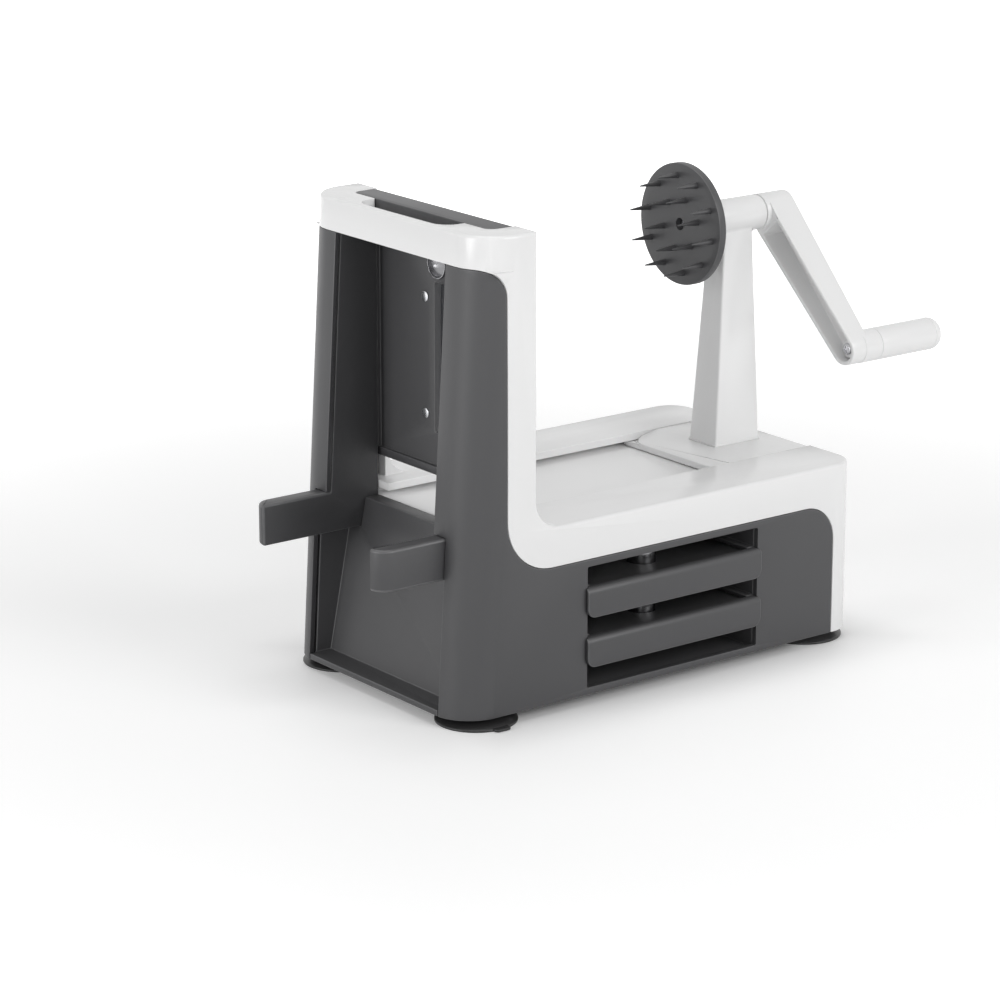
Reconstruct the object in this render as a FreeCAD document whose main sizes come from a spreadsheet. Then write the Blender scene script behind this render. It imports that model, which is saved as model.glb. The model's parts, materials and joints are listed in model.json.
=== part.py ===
import FreeCAD, Part
import math
import os
import Sketcher
from FreeCAD import Placement, Rotation, Vector

# A hand cranked spiralizer, in millimetres. The blade tower stands at the front (-X), the crank at
# the rear (+X), +Z is up. The origin is on the table, under the middle of the whole length.

os.makedirs("parts", exist_ok=True)
doc = FreeCAD.newDocument("spiralizer")
sheet = doc.addObject("Spreadsheet::Sheet", "sheet")

driving_sizes = {
    # housing
    "rear_margin": 65,
    "tower_depth": 44.4,
    "front_lean": 13.6,
    "base_height": 91,
    "ground_gap": 5.1,
    "wall": 2.8,
    "front_corner": 20,
    "rear_corner": 14,
    "inner_corner": 14,
    "seam_gap": 0.3,
    "cap_height": 15.2,
    "leg_depth": 27.6,
    "seam_drop": 19.3,
    "rear_band": 15.7,
    "seam_low_radius": 26,
    "seam_top_radius": 13,
    "seam_rear_radius": 18,
    # trough that the carriage runs in
    "trough_depth": 7,
    "floor_thickness": 2.5,
    "trough_width": 71,
    "groove_depth": 11.9,
    "groove_height": 3.1,
    "rail_top_thickness": 3,
    "rib_thickness": 2,
    "rib_drop": 2,
    "foot_ledge_width": 16,
    "foot_ledge_length": 18,
    # outlet at the front of the tower
    "outlet_width": 86.4,
    "recess_width": 104,
    "cheek_thickness": 2.8,
    "cheek_back": 36,
    "guide_reach": 31,
    "guide_height": 20,
    "guide_rise": 6,
    "guide_thickness": 8.8,
    "guide_corner": 8,
    "guide_root": 14,
    "sill_front": 28,
    "sill_back": 36,
    "chute_foot": 13,
    "chute_thickness": 2.6,
    "bottom_thickness": 2.9,
    "wing_gap": 1.2,
    "plate_corner_relief": 2,
    "plate_reach": 6,
    # blade cartridges
    "flange_length": 107,
    "flange_depth": 14.8,
    "lip_thickness": 1.8,
    "flange_height": 4.7,
    "flange_corner": 4.5,
    "flange_corner_step": 1,
    "flange_edge": 3,
    "plate_width": 104,
    "plate_thickness": 4.5,
    "plate_offset": 8,
    "cartridge_length": 128,
    "cartridge_gap": 12,
    "cartridge_front": 30,
    "tongue_width": 5,
    "slot_clearance": 0.3,
    "recess_depth": 5,
    "ledge_thickness": 4.5,
    "ledge_margin": 3,
    "pocket_depth": 6.5,
    "pocket_width": 70,
    "pocket_reach": 12.2,
    "pocket_flat": 3,
    "web_margin": 1,
    "web_depth": 2,
    "foot_band": 4,
    "head_band": 3,
    "blade_thickness": 0.7,
    "blade_width": 15,
    "blade_heel": 2,
    "blade_lead": 2,
    "edge_length": 1.6,
    "blade_top_gap": 2,
    "blade_foot_gap": 20,
    "slot_lead": 5,
    "land_offset": 2.5,
    "land_margin": 1,
    "land_overhang": 2,
    "slice_thickness": 1.5,
    "coring_radius": 7,
    "coring_wall": 0.6,
    "coring_inset": 1,
    "coring_reach": 7,
    "rivet_radius": 1.5,
    "rivet_offset": 9.5,
    "rivet_end_distance": 8,
    "rivet_head_overlap": 1,
    "rivet_head_thickness": 0.5,
    "rivet_tail_inset": 1.4,
    "rivet_tail_thickness": 0.6,
    "comb_offset": 7,
    "comb_thickness": 0.6,
    "comb_root": 2.2,
    "comb_end_gap": 1,
    "tooth_reach": 3,
    "tooth_width": 2.4,
    "fine_pitch": 3.2,
    "coarse_pitch": 5.6,
    # storage in the base
    "window_width": 105,
    "window_drop": 3.7,
    "window_bottom": 8.5,
    "window_corner": 1,
    "store_distance": 126.8,
    "rib_distance": 109,
    "store_height": 43.2,
    "store_pitch": 24.4,
    "lip_proud": 2.2,
    "rack_wall": 2,
    "rack_ledge": 4,
    "rack_clearance": 4,
    "rack_side_gap": 0.5,
    "store_clearance": 12.6,
    # suction feet
    "front_foot_inset": 21.5,
    "rear_foot_inset": 17.2,
    "side_foot_inset": 16.5,
    "rear_side_foot_inset": 20,
    "foot_radius": 19.6,
    "stem_radius": 3.4,
    "cup_depth": 2.4,
    "cup_rim_width": 2.4,
    "cup_rim_rise": 0.7,
    "cup_lip_width": 1.4,
    "cup_edge": 1,
    "cup_shoulder_inset": 6,
    "cup_shoulder_height": 3.2,
    "cup_collar": 3,
    "cup_seat_gap": 0.1,
    "barb_gap": 0.2,
    "barb_width": 1.6,
    "barb_tip": 0.6,
    "barb_height": 3.2,
    "tab_width": 9,
    "tab_reach": 2.5,
    "tab_overlap": 1.5,
    "tab_bottom": 0.2,
    "tab_thickness": 1.2,
    # carriage
    "slide_gap": 0.3,
    "deck_inset": 2.3,
    "deck_length": 56.5,
    "deck_corner": 10,
    "deck_thickness": 6.5,
    "nose_drop": 3.1,
    "post_inset": 41.3,
    "post_length": 29,
    "post_width": 21,
    "plinth_height": 1,
    "post_step": 0.3,
    "post_top_front": 7.6,
    "post_top_length": 17.4,
    "post_top_width": 12.6,
    # crank
    "axis_drop": 26.7,
    "hub_offset": 2,
    "hub_length": 31,
    "hub_radius": 8.8,
    "bush_radius": 5.4,
    "bush_length": 9,
    "bush_flange_radius": 6.8,
    "bush_flange_thickness": 1.2,
    "shaft_radius": 4,
    "shaft_fit": 0.05,
    "square_width": 5.4,
    "square_length": 11,
    "square_end_gap": 0.3,
    "crank_reach": 82.7,
    "crank_angle": 42.8,
    "crank_collar": 2.4,
    "crank_depth": 15.9,
    "crank_lean": 1.4,
    "crank_top_width": 17.6,
    "crank_end_width": 15.6,
    "crank_rim": 2,
    "crank_web": 2.4,
    "channel_offset": 1.5,
    "channel_margin": 0.3,
    "crank_screw_web": 2,
    "crank_end_depth": 11,
    "grip_radius": 8,
    "grip_boss": 8,
    "grip_length": 36,
    "grip_cap_length": 5.7,
    "grip_cap_flat": 0.7,
    "plug_length": 3,
    "axle_radius": 3,
    "axle_head_width": 1.4,
    "axle_head_thickness": 2,
    "axle_head_gap": 0.4,
    "axle_head_depth": 7,
    "axle_boss_length": 4,
    "axle_boss_radius": 4.6,
    "axle_screw_web": 2,
    # vegetable holder
    "holder_radius": 30,
    "holder_thickness": 4,
    "holder_boss_radius": 8,
    "holder_boss_length": 14,
    "prong_length": 12,
    "prong_radius": 1.6,
    "prong_tip": 0.3,
    "prong_inner_ring": 13,
    "prong_outer_ring": 24,
    "holder_screw_web": 2.5,
    # screws
    "screw_radius": 1.5,
    "screw_head_radius": 2.9,
    "screw_head_height": 1.7,
    "screw_length": 12,
    "screw_fit": 0.15,
    "pilot_fit": 0.02,
    "running_gap": 0.3,
    # places of the screws, with the bosses and tabs that they hold together
    "pilot_extra": 1,
    "boss_cap": 1.5,
    "boss_radius": 3.6,
    "side_boss_radius": 4,
    "side_tab_drop": 3.3,
    "side_tab_thickness": 2.2,
    "side_tab_width": 12,
    "side_tab_reach": 5,
    "rack_tab_drop": 9.5,
    "rack_tab_thickness": 2.5,
    "rack_tab_width": 12,
    "rack_tab_length": 9,
    "front_side_screw": 10.3,
    "rear_side_screw": 20.7,
    "side_screw_inset": 9.5,
    "chute_screw_offset": 13,
    "chute_screw_inset": 3.5,
    "rack_screw_offset": 4.5,
    "rack_screw_spread": 40,
    "post_screw_inset": 6,
    "post_screw_side_inset": 4.6,
}
for row, (alias, number) in enumerate(driving_sizes.items(), 1):
    sheet.set(f"A{row}", alias)
    sheet.set(f"B{row}", str(number))
    sheet.setAlias(f"B{row}", alias)
doc.recompute()


def value(expression):
    """The number that an expression of sheet sizes gives."""
    return float(sheet.evalExpression(str(expression)))


# Places worked out from the driving sizes, each an expression that the features are bound to.
tower_top = "(sheet.base_height + sheet.cartridge_gap + sheet.cartridge_length)"
axis_level = f"({tower_top} - sheet.axis_drop)"
seam_level = "(sheet.base_height - sheet.seam_drop)"
trough_floor = "(sheet.base_height - sheet.trough_depth)"
window_top = f"({seam_level} - sheet.window_drop)"
body_length = "(sheet.store_distance + sheet.window_width / 2 + sheet.rear_margin)"
post_distance = f"({body_length} - sheet.post_inset)"
hub_start = f"({post_distance} + sheet.hub_offset)"
hub_end = f"({hub_start} + sheet.hub_length)"
crank_start = f"({hub_end} + sheet.running_gap)"
crank_front = f"({crank_start} + sheet.crank_collar)"
crank_top_back = f"({crank_front} + sheet.crank_depth)"
crank_end_back = f"({crank_top_back} + sheet.crank_lean)"
grip_start = f"({crank_end_back} + sheet.grip_boss + sheet.running_gap)"
cap_start = f"({grip_start} + sheet.grip_length)"
whole_reach = f"({cap_start} + sheet.grip_cap_length)"
front = f"((sheet.guide_reach - {whole_reach}) / 2)"


def from_front(distance):
    return f"({front} + {distance})"


rear = from_front(body_length)
side = "((sheet.cartridge_length + sheet.store_clearance) / 2)"
inner_side = f"({side} - sheet.wall)"
tower_back = from_front("sheet.tower_depth")
leg_back = from_front("sheet.leg_depth")
band_front = f"({rear} - sheet.rear_band)"
cap_bottom = f"({tower_top} - sheet.cap_height)"
trough_half = "(sheet.trough_width / 2)"
groove_half = f"({trough_half} + sheet.groove_depth)"
groove_top = f"({trough_floor} + sheet.groove_height)"
floor_bottom = f"({trough_floor} - sheet.floor_thickness)"
outlet_half = "(sheet.outlet_width / 2)"
recess_half = "(sheet.recess_width / 2)"
guide_top = f"({trough_floor} + sheet.guide_rise)"
guide_bottom = f"({guide_top} - sheet.guide_height)"
cheek_back = from_front("sheet.cheek_back")
sill_front = from_front("sheet.sill_front")
sill_back = from_front("sheet.sill_back")
plate_half = "(sheet.plate_width / 2)"
flange_half = "(sheet.flange_length / 2)"
cartridge_front = from_front("sheet.cartridge_front")
slot_front = f"({cartridge_front} + sheet.plate_offset - sheet.slot_clearance)"
slot_back = f"({cartridge_front} + sheet.plate_offset + sheet.plate_thickness + sheet.slot_clearance)"
slot_half = f"({plate_half} + sheet.slot_clearance)"
tower_opening_half = f"({plate_half} - sheet.tongue_width)"
flange_recess = f"({tower_top} - sheet.recess_depth)"
front_foot_x = from_front("sheet.front_foot_inset")
rear_foot_x = f"({rear} - sheet.rear_foot_inset)"
front_foot_y = f"({side} - sheet.side_foot_inset)"
rear_foot_y = f"({side} - sheet.rear_side_foot_inset)"
plate_top = "(sheet.ground_gap + sheet.bottom_thickness)"
store_x = from_front("sheet.store_distance")
store_mouth = f"(-{side} - sheet.lip_proud)"
deck_bottom = f"({trough_floor} + sheet.slide_gap)"
deck_top = f"({deck_bottom} + sheet.deck_thickness)"
deck_back = f"({rear} - sheet.deck_inset)"
deck_front = f"({deck_back} - sheet.deck_length)"
post_x = from_front(post_distance)
plinth_top = f"({deck_top} + sheet.plinth_height)"


def front_at(height):
    """The leaning front plane of the tower at a height."""
    return f"({front} + sheet.front_lean * ({height}) / {tower_top})"


def signed(sign, width):
    return width if sign > 0 else f"-({width})"


def new_body(label):
    body = doc.addObject("PartDesign::Body", label)
    body.Label = label
    return body


def sketch_on(body, plane, offset):
    sketch = body.newObject("Sketcher::SketchObject", "sketch")
    origin_plane = next(item for item in body.Origin.OriginFeatures if item.Role == plane)
    sketch.AttachmentSupport = [(origin_plane, "")]
    sketch.MapMode = "FlatFace"
    sketch.setExpression("AttachmentOffset.Base.z", offset)
    return sketch


def draw_polygon(sketch, points):
    """A closed outline whose corners are each bound to a pair of expressions."""
    corners = [Vector(value(u), value(v), 0) for u, v in points]
    base = sketch.GeometryCount
    count = len(corners)
    for index, corner in enumerate(corners):
        sketch.addGeometry(Part.LineSegment(corner, corners[(index + 1) % count]), False)
    for index in range(count):
        following = base + (index + 1) % count
        sketch.addConstraint(Sketcher.Constraint("Coincident", base + index, 2, following, 1))
    for index, (u, v) in enumerate(points):
        bind_point(sketch, base + index, 1, u, v)


def bind_point(sketch, geometry, vertex, u, v):
    for kind, expression in (("DistanceX", u), ("DistanceY", v)):
        constraint = Sketcher.Constraint(kind, -1, 1, geometry, vertex, value(expression))
        name = sketch.addConstraint(constraint)
        sketch.setExpression(f"Constraints[{name}]", expression)


def draw_circle(sketch, u, v, radius):
    circle = Part.Circle(Vector(value(u), value(v), 0), Vector(0, 0, 1), value(radius))
    geometry = sketch.addGeometry(circle, False)
    bind_point(sketch, geometry, 3, u, v)
    name = sketch.addConstraint(Sketcher.Constraint("Radius", geometry, value(radius)))
    sketch.setExpression(f"Constraints[{name}]", radius)


def rectangle(u_low, u_high, v_low, v_high):
    return [(u_low, v_low), (u_high, v_low), (u_high, v_high), (u_low, v_high)]


def draw(sketch, shapes):
    """Each shape is a list of corners, or a circle given as (u, v, radius)."""
    for shape in shapes:
        if isinstance(shape, tuple):
            draw_circle(sketch, *shape)
        else:
            draw_polygon(sketch, shape)


def pad(body, plane, low, high, *shapes):
    """Add the shapes between two places on the axis across the plane."""
    offset = f"-({high})" if plane == "XZ_Plane" else low
    sketch = sketch_on(body, plane, offset)
    draw(sketch, shapes)
    feature = body.newObject("PartDesign::Pad", "pad")
    feature.Profile = sketch
    feature.setExpression("Length", f"({high}) - ({low})")
    doc.recompute()
    return feature


def pocket(body, plane, low, high, *shapes):
    """Cut the shapes away between two places on the axis across the plane."""
    before = body.Shape.Volume
    offset = f"-({low})" if plane == "XZ_Plane" else high
    sketch = sketch_on(body, plane, offset)
    draw(sketch, shapes)
    feature = body.newObject("PartDesign::Pocket", "pocket")
    feature.Profile = sketch
    feature.setExpression("Length", f"({high}) - ({low})")
    doc.recompute()
    if not body.Shape.Volume < before:
        raise ValueError(f"a pocket in {body.Label} cuts nothing")
    return feature


def revolve(body, axis_plane, axis, *shapes):
    """Turn the shapes, drawn on an origin plane, about one of its axes."""
    sketch = sketch_on(body, axis_plane, "0")
    draw(sketch, shapes)
    feature = body.newObject("PartDesign::Revolution", "revolution")
    feature.Profile = sketch
    feature.ReferenceAxis = (sketch, [axis])
    feature.Angle = 360
    doc.recompute()
    return feature


def near(number, expression, tolerance=0.02):
    return abs(number - value(expression)) < tolerance


def round_edges(body, radius, *tests):
    """Fillet the edges whose two ends and middle all pass one of the tests."""
    names = []
    for index, edge in enumerate(body.Shape.Edges, 1):
        middle = edge.valueAt((edge.FirstParameter + edge.LastParameter) / 2)
        places = [vertex.Point for vertex in edge.Vertexes] + [middle]
        if any(all(test(place) for place in places) for test in tests):
            names.append(f"Edge{index}")
    if not names:
        raise ValueError(f"no edge to round in {body.Label}")
    base = body.Tip
    feature = body.newObject("PartDesign::Fillet", "fillet")
    feature.Base = (base, names)
    feature.setExpression("Radius", radius)
    doc.recompute()
    if "Invalid" in feature.State or not feature.Shape.isValid():
        raise ValueError(f"a fillet of {radius} in {body.Label} fails")
    return feature


def round_leaning_corners(body, radius, low, high, *signs):
    """Cut the outer front corners away along an arc that follows the leaning front plane."""
    for sign in signs:
        sketch = sketch_on(body, "XY_Plane", low)
        start = front_at(low)
        outside = signed(sign, f"({side} + 1)")
        tangent = signed(sign, f"({side} - {radius})")
        places = [(f"({start} + {radius})", signed(sign, side)), (f"({start} + {radius})", outside),
                  (f"({start} - 1)", outside), (f"({start} - 1)", tangent), (start, tangent)]
        points = [Vector(value(u), value(v), 0) for u, v in places]
        for index in range(4):
            sketch.addGeometry(Part.LineSegment(points[index], points[index + 1]), False)
        centre = Vector(points[0].x, points[4].y, 0)
        circle = Part.Circle(centre, Vector(0, 0, 1), value(radius))
        spread = (math.pi / 2, math.pi) if sign > 0 else (math.pi, 3 * math.pi / 2)
        sketch.addGeometry(Part.ArcOfCircle(circle, *spread), False)
        tangent_side, tangent_front = (1, 2) if sign > 0 else (2, 1)
        for index in range(3):
            sketch.addConstraint(Sketcher.Constraint("Coincident", index, 2, index + 1, 1))
        sketch.addConstraint(Sketcher.Constraint("Coincident", 3, 2, 4, tangent_front))
        sketch.addConstraint(Sketcher.Constraint("Coincident", 4, tangent_side, 0, 1))
        for index in range(4):
            bind_point(sketch, index, 1, *places[index])
        bind_point(sketch, 3, 2, *places[4])
        name = sketch.addConstraint(Sketcher.Constraint("Radius", 4, value(radius)))
        sketch.setExpression(f"Constraints[{name}]", radius)
        before = body.Shape.Volume
        feature = body.newObject("PartDesign::Pocket", "corner")
        feature.Profile = sketch
        feature.UseCustomVector = True
        feature.AlongSketchNormal = True
        feature.Direction = Vector(value("sheet.front_lean") / value(tower_top), 0, 1)
        feature.setExpression("Direction.x", f"sheet.front_lean / {tower_top}")
        feature.setExpression("Length", f"({high}) - ({low})")
        doc.recompute()
        if not body.Shape.Volume < before:
            raise ValueError(f"a corner cut in {body.Label} cuts nothing")


def at_xy(x, y):
    return lambda place: near(place.x, x) and near(place.y, y)


def at_xz(x, z):
    return lambda place: near(place.x, x) and near(place.z, z)


def on_lean(y, inset="0"):
    """Edges that follow the leaning front plane at one width."""
    def test(place):
        plane = value(front) + value("sheet.front_lean") * place.z / value(tower_top)
        return abs(place.x - plane - value(inset)) < 0.02 and near(place.y, y)
    return test


def place(item, x="0", y="0", z="0", rotation=None, angle=None):
    """Bind an item's placement to expressions."""
    item.Placement = Placement(Vector(value(x), value(y), value(z)), rotation or Rotation())
    for axis, expression in (("x", x), ("y", y), ("z", z)):
        item.setExpression(f"Placement.Base.{axis}", expression)
    if angle:
        item.setExpression("Placement.Rotation.Angle", angle)


def screw_group(label, spots, directions=None):
    """Pan head screws as one node. Each spot is the middle of a head's seat."""
    up = Vector(0, 0, 1)
    screws = []
    for (x, y, z), direction in zip(spots, directions or [up] * len(spots)):
        shank = doc.addObject("Part::Cylinder", "shank")
        shank.setExpression("Radius", "sheet.screw_radius")
        shank.setExpression("Height", "sheet.screw_length")
        head = doc.addObject("Part::Cylinder", "head")
        head.setExpression("Radius", "sheet.screw_head_radius")
        head.setExpression("Height", "sheet.screw_head_height")
        place(head, z="-sheet.screw_head_height")
        solid = doc.addObject("Part::Fuse", "screw")
        solid.Base, solid.Tool = head, shank
        bars = []
        for long_side, short_side in (("Length", "Width"), ("Width", "Length")):
            bar = doc.addObject("Part::Box", "bar")
            bar.setExpression(long_side, "sheet.screw_head_radius * 1.3")
            bar.setExpression(short_side, "sheet.screw_radius / 2")
            bar.setExpression("Height", "sheet.screw_head_height / 2")
            half_long, half_short = "-sheet.screw_head_radius * 0.65", "-sheet.screw_radius / 4"
            x_start, y_start = (half_long, half_short) if long_side == "Length" else (half_short, half_long)
            place(bar, x_start, y_start, "-sheet.screw_head_height")
            bars.append(bar)
        cross = doc.addObject("Part::Fuse", "cross")
        cross.Base, cross.Tool = bars
        screw = doc.addObject("Part::Cut", "screw_cut")
        screw.Base, screw.Tool = solid, cross
        place(screw, x, y, z, Rotation(up, direction))
        screws.append(screw)
    group = doc.addObject("Part::Compound", label)
    group.Links = screws
    group.Label = label
    doc.recompute()
    return group


def across(sign, inner, outer):
    """The Y places of something between two widths on the near (-1) or the far (+1) side."""
    return (inner, outer) if sign > 0 else (f"-({outer})", f"-({inner})")


def side_by_side(x_low, x_high, inner, outer):
    """A rectangle on each side of the middle plane."""
    return [rectangle(x_low, x_high, *across(sign, inner, outer)) for sign in (-1, 1)]


# Places of the screws that hold the housing together.
rack_half = f"({plate_half} + sheet.rack_side_gap)"
rack_outer = f"({rack_half} + sheet.rack_wall)"
side_screw_x = [f"({store_x} - {rack_outer} - sheet.front_side_screw)",
                f"({store_x} + {rack_outer} + sheet.rear_side_screw)"]
side_screw_y = f"({inner_side} - sheet.side_screw_inset)"
side_tab_top = f"({seam_level} - sheet.side_tab_drop)"
side_tab_bottom = f"({side_tab_top} - sheet.side_tab_thickness)"
rack_screw_x = [f"({store_x} - {rack_outer} - sheet.rack_screw_offset)",
                f"({store_x} + {rack_outer} + sheet.rack_screw_offset)"]
rack_screw_y = "sheet.rack_screw_spread"
rack_tab_top = f"({floor_bottom} - sheet.rack_tab_drop)"
rack_tab_bottom = f"({rack_tab_top} - sheet.rack_tab_thickness)"
chute_screw_x = f"({front_foot_x} + sheet.chute_screw_offset)"
chute_screw_y = f"({inner_side} - sheet.chute_screw_inset)"
post_screw_x = [f"({post_x} + sheet.post_screw_inset)",
                f"({post_x} + sheet.post_length - sheet.post_screw_inset)"]
post_screw_y = "(sheet.post_width / 2 - sheet.post_screw_side_inset)"
pilot = "sheet.screw_radius + sheet.pilot_fit"
screw_hole = "sheet.screw_radius + sheet.screw_fit"


def top_cover():
    """The light shell: cap and back of the tower, rails, trough floor and rear end."""
    body = new_body("top_cover")
    pad(body, "XZ_Plane", f"-{side}", side, [
        (front_at(cap_bottom), cap_bottom),
        (leg_back, cap_bottom),
        (leg_back, seam_level),
        (band_front, seam_level),
        (band_front, "sheet.ground_gap"),
        (rear, "sheet.ground_gap"),
        (rear, "sheet.base_height"),
        (tower_back, "sheet.base_height"),
        (tower_back, tower_top),
        (front_at(tower_top), tower_top),
    ])
    round_edges(body, "sheet.inner_corner", at_xz(tower_back, "sheet.base_height"))
    round_edges(body, "sheet.seam_low_radius", at_xz(leg_back, seam_level))
    round_edges(body, "sheet.seam_top_radius", at_xz(leg_back, cap_bottom))
    round_edges(body, "sheet.seam_rear_radius", at_xz(band_front, seam_level))

    # the hollow of the base, below the trough floor and below both rails
    inner_rear = f"({rear} - sheet.wall)"
    hollow_front = f"({leg_back} - 1)"
    pocket(body, "XY_Plane", "sheet.ground_gap - 1", floor_bottom,
           rectangle(hollow_front, inner_rear, f"-{inner_side}", inner_side))
    pocket(body, "XY_Plane", f"{floor_bottom} - 1", "sheet.base_height - sheet.rail_top_thickness",
           *side_by_side(hollow_front, inner_rear, f"{groove_half} + sheet.floor_thickness", inner_side))
    round_edges(body, "sheet.rear_corner - sheet.wall",
                at_xy(inner_rear, inner_side), at_xy(inner_rear, f"-{inner_side}"))

    # the hollow of the tower, with a ledge in the middle that carries the cartridge
    cap_inner = f"({front_at(tower_top)} + sheet.wall)"
    ledge_half = f"({flange_half} + sheet.ledge_margin)"
    bevelled = f"({cap_inner} + {inner_side} - {ledge_half})"
    tower_inner_back = f"({tower_back} - sheet.wall)"
    side_hollows = [[(cap_inner, signed(sign, ledge_half)), (tower_inner_back, signed(sign, ledge_half)),
                     (tower_inner_back, signed(sign, inner_side)), (bevelled, signed(sign, inner_side))]
                    for sign in (-1, 1)]
    pocket(body, "XY_Plane", "sheet.base_height", f"{tower_top} - sheet.rail_top_thickness", *side_hollows)
    round_leaning_corners(body, "sheet.front_corner", f"({cap_bottom} - 1)", f"({tower_top} + 1)", -1, 1)
    round_edges(body, "sheet.rear_corner", at_xy(rear, side), at_xy(rear, f"-{side}"))
    pocket(body, "XY_Plane", "sheet.base_height", f"{flange_recess} - sheet.ledge_thickness",
           rectangle(cap_inner, slot_back, f"-{ledge_half}", ledge_half))

    # the opening towards the crank, the cartridge's slot and the finger pocket in front of it
    behind = f"({tower_back} + sheet.inner_corner + 1)"
    pocket(body, "XY_Plane", "sheet.base_height", flange_recess,
           rectangle(slot_front, behind, f"-{tower_opening_half}", tower_opening_half))
    pocket(body, "XY_Plane", f"{flange_recess} - sheet.ledge_thickness - 1", flange_recess,
           rectangle(slot_front, slot_back, f"-{slot_half}", slot_half))
    recess_half_width = f"({flange_half} + sheet.slot_clearance)"
    recess_front = f"({cartridge_front} - sheet.slot_clearance)"
    pocket(body, "XY_Plane", flange_recess, f"{tower_top} + 1",
           rectangle(recess_front, behind, f"-{recess_half_width}", recess_half_width))
    round_edges(body, "sheet.flange_corner + sheet.slot_clearance",
                at_xy(recess_front, recess_half_width), at_xy(recess_front, f"-{recess_half_width}"))
    pocket_front = f"({cartridge_front} - sheet.pocket_reach)"
    pocket_half = "(sheet.pocket_width / 2)"
    pocket(body, "XY_Plane", f"{tower_top} - sheet.pocket_depth", f"{tower_top} + 1",
           rectangle(pocket_front, cartridge_front, f"-{pocket_half}", pocket_half))
    round_edges(body, "sheet.pocket_reach - sheet.pocket_flat",
                at_xy(pocket_front, pocket_half), at_xy(pocket_front, f"-{pocket_half}"))

    # the trough with a groove under each rail, and the gap where the sill and the cheeks go
    trough_front = f"({sill_back} + sheet.seam_gap)"
    pocket(body, "XY_Plane", groove_top, "sheet.base_height + sheet.inner_corner + 1",
           rectangle(trough_front, f"{rear} + 1", f"-{trough_half}", trough_half))
    pocket(body, "XY_Plane", trough_floor, groove_top,
           rectangle(trough_front, f"{rear} + 1", f"-{groove_half}", groove_half))
    gap_half = f"({recess_half} + sheet.seam_gap)"
    pocket(body, "XY_Plane", f"{seam_level} - 1", "sheet.base_height + 1",
           rectangle(hollow_front, trough_front, f"-{gap_half}", gap_half))

    # bosses for the screws, a stiffening rib under the floor and the rear feet's ledges
    ceiling = "(sheet.base_height - sheet.rail_top_thickness + 0.5)"
    side_bosses = [(x, signed(sign, side_screw_y)) for x in side_screw_x for sign in (-1, 1)]
    pad(body, "XY_Plane", f"{side_tab_top} + sheet.seam_gap", ceiling,
        *[(x, y, "sheet.side_boss_radius") for x, y in side_bosses])
    pocket(body, "XY_Plane", side_tab_top, f"{side_tab_bottom} + sheet.screw_length + sheet.pilot_extra",
           *[(x, y, pilot) for x, y in side_bosses])
    rack_bosses = [(x, signed(sign, rack_screw_y)) for x in rack_screw_x for sign in (-1, 1)]
    pad(body, "XY_Plane", f"{rack_tab_top} + sheet.seam_gap", f"{floor_bottom} + 0.5",
        *[(x, y, "sheet.boss_radius") for x, y in rack_bosses])
    pocket(body, "XY_Plane", rack_tab_top, f"{floor_bottom}", *[(x, y, pilot) for x, y in rack_bosses])
    pad(body, "XY_Plane", f"{window_top} - sheet.rib_drop", f"{floor_bottom} + 0.5",
        rectangle(from_front("sheet.rib_distance"), from_front("sheet.rib_distance + sheet.rib_thickness"),
                  f"-{side_screw_y}", side_screw_y))
    ledge_back = f"({rear} - sheet.wall + 0.5)"
    for sign in (-1, 1):
        outer = signed(sign, f"{inner_side} - sheet.seam_gap")
        corner = signed(sign, f"{side} - sheet.rear_corner")
        inner = signed(sign, f"{rear_foot_y} - sheet.foot_ledge_width")
        ledge_front = f"({rear_foot_x} - sheet.foot_ledge_length)"
        pad(body, "XY_Plane", "sheet.ground_gap", plate_top, [
            (ledge_front, inner), (ledge_back, inner), (ledge_back, corner),
            (f"{rear} - sheet.rear_corner", outer), (ledge_front, outer)])
        pocket(body, "XY_Plane", "sheet.ground_gap - 1", f"{plate_top} + 1",
               (rear_foot_x, signed(sign, rear_foot_y), "sheet.stem_radius + sheet.screw_fit"))
    return body


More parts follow.
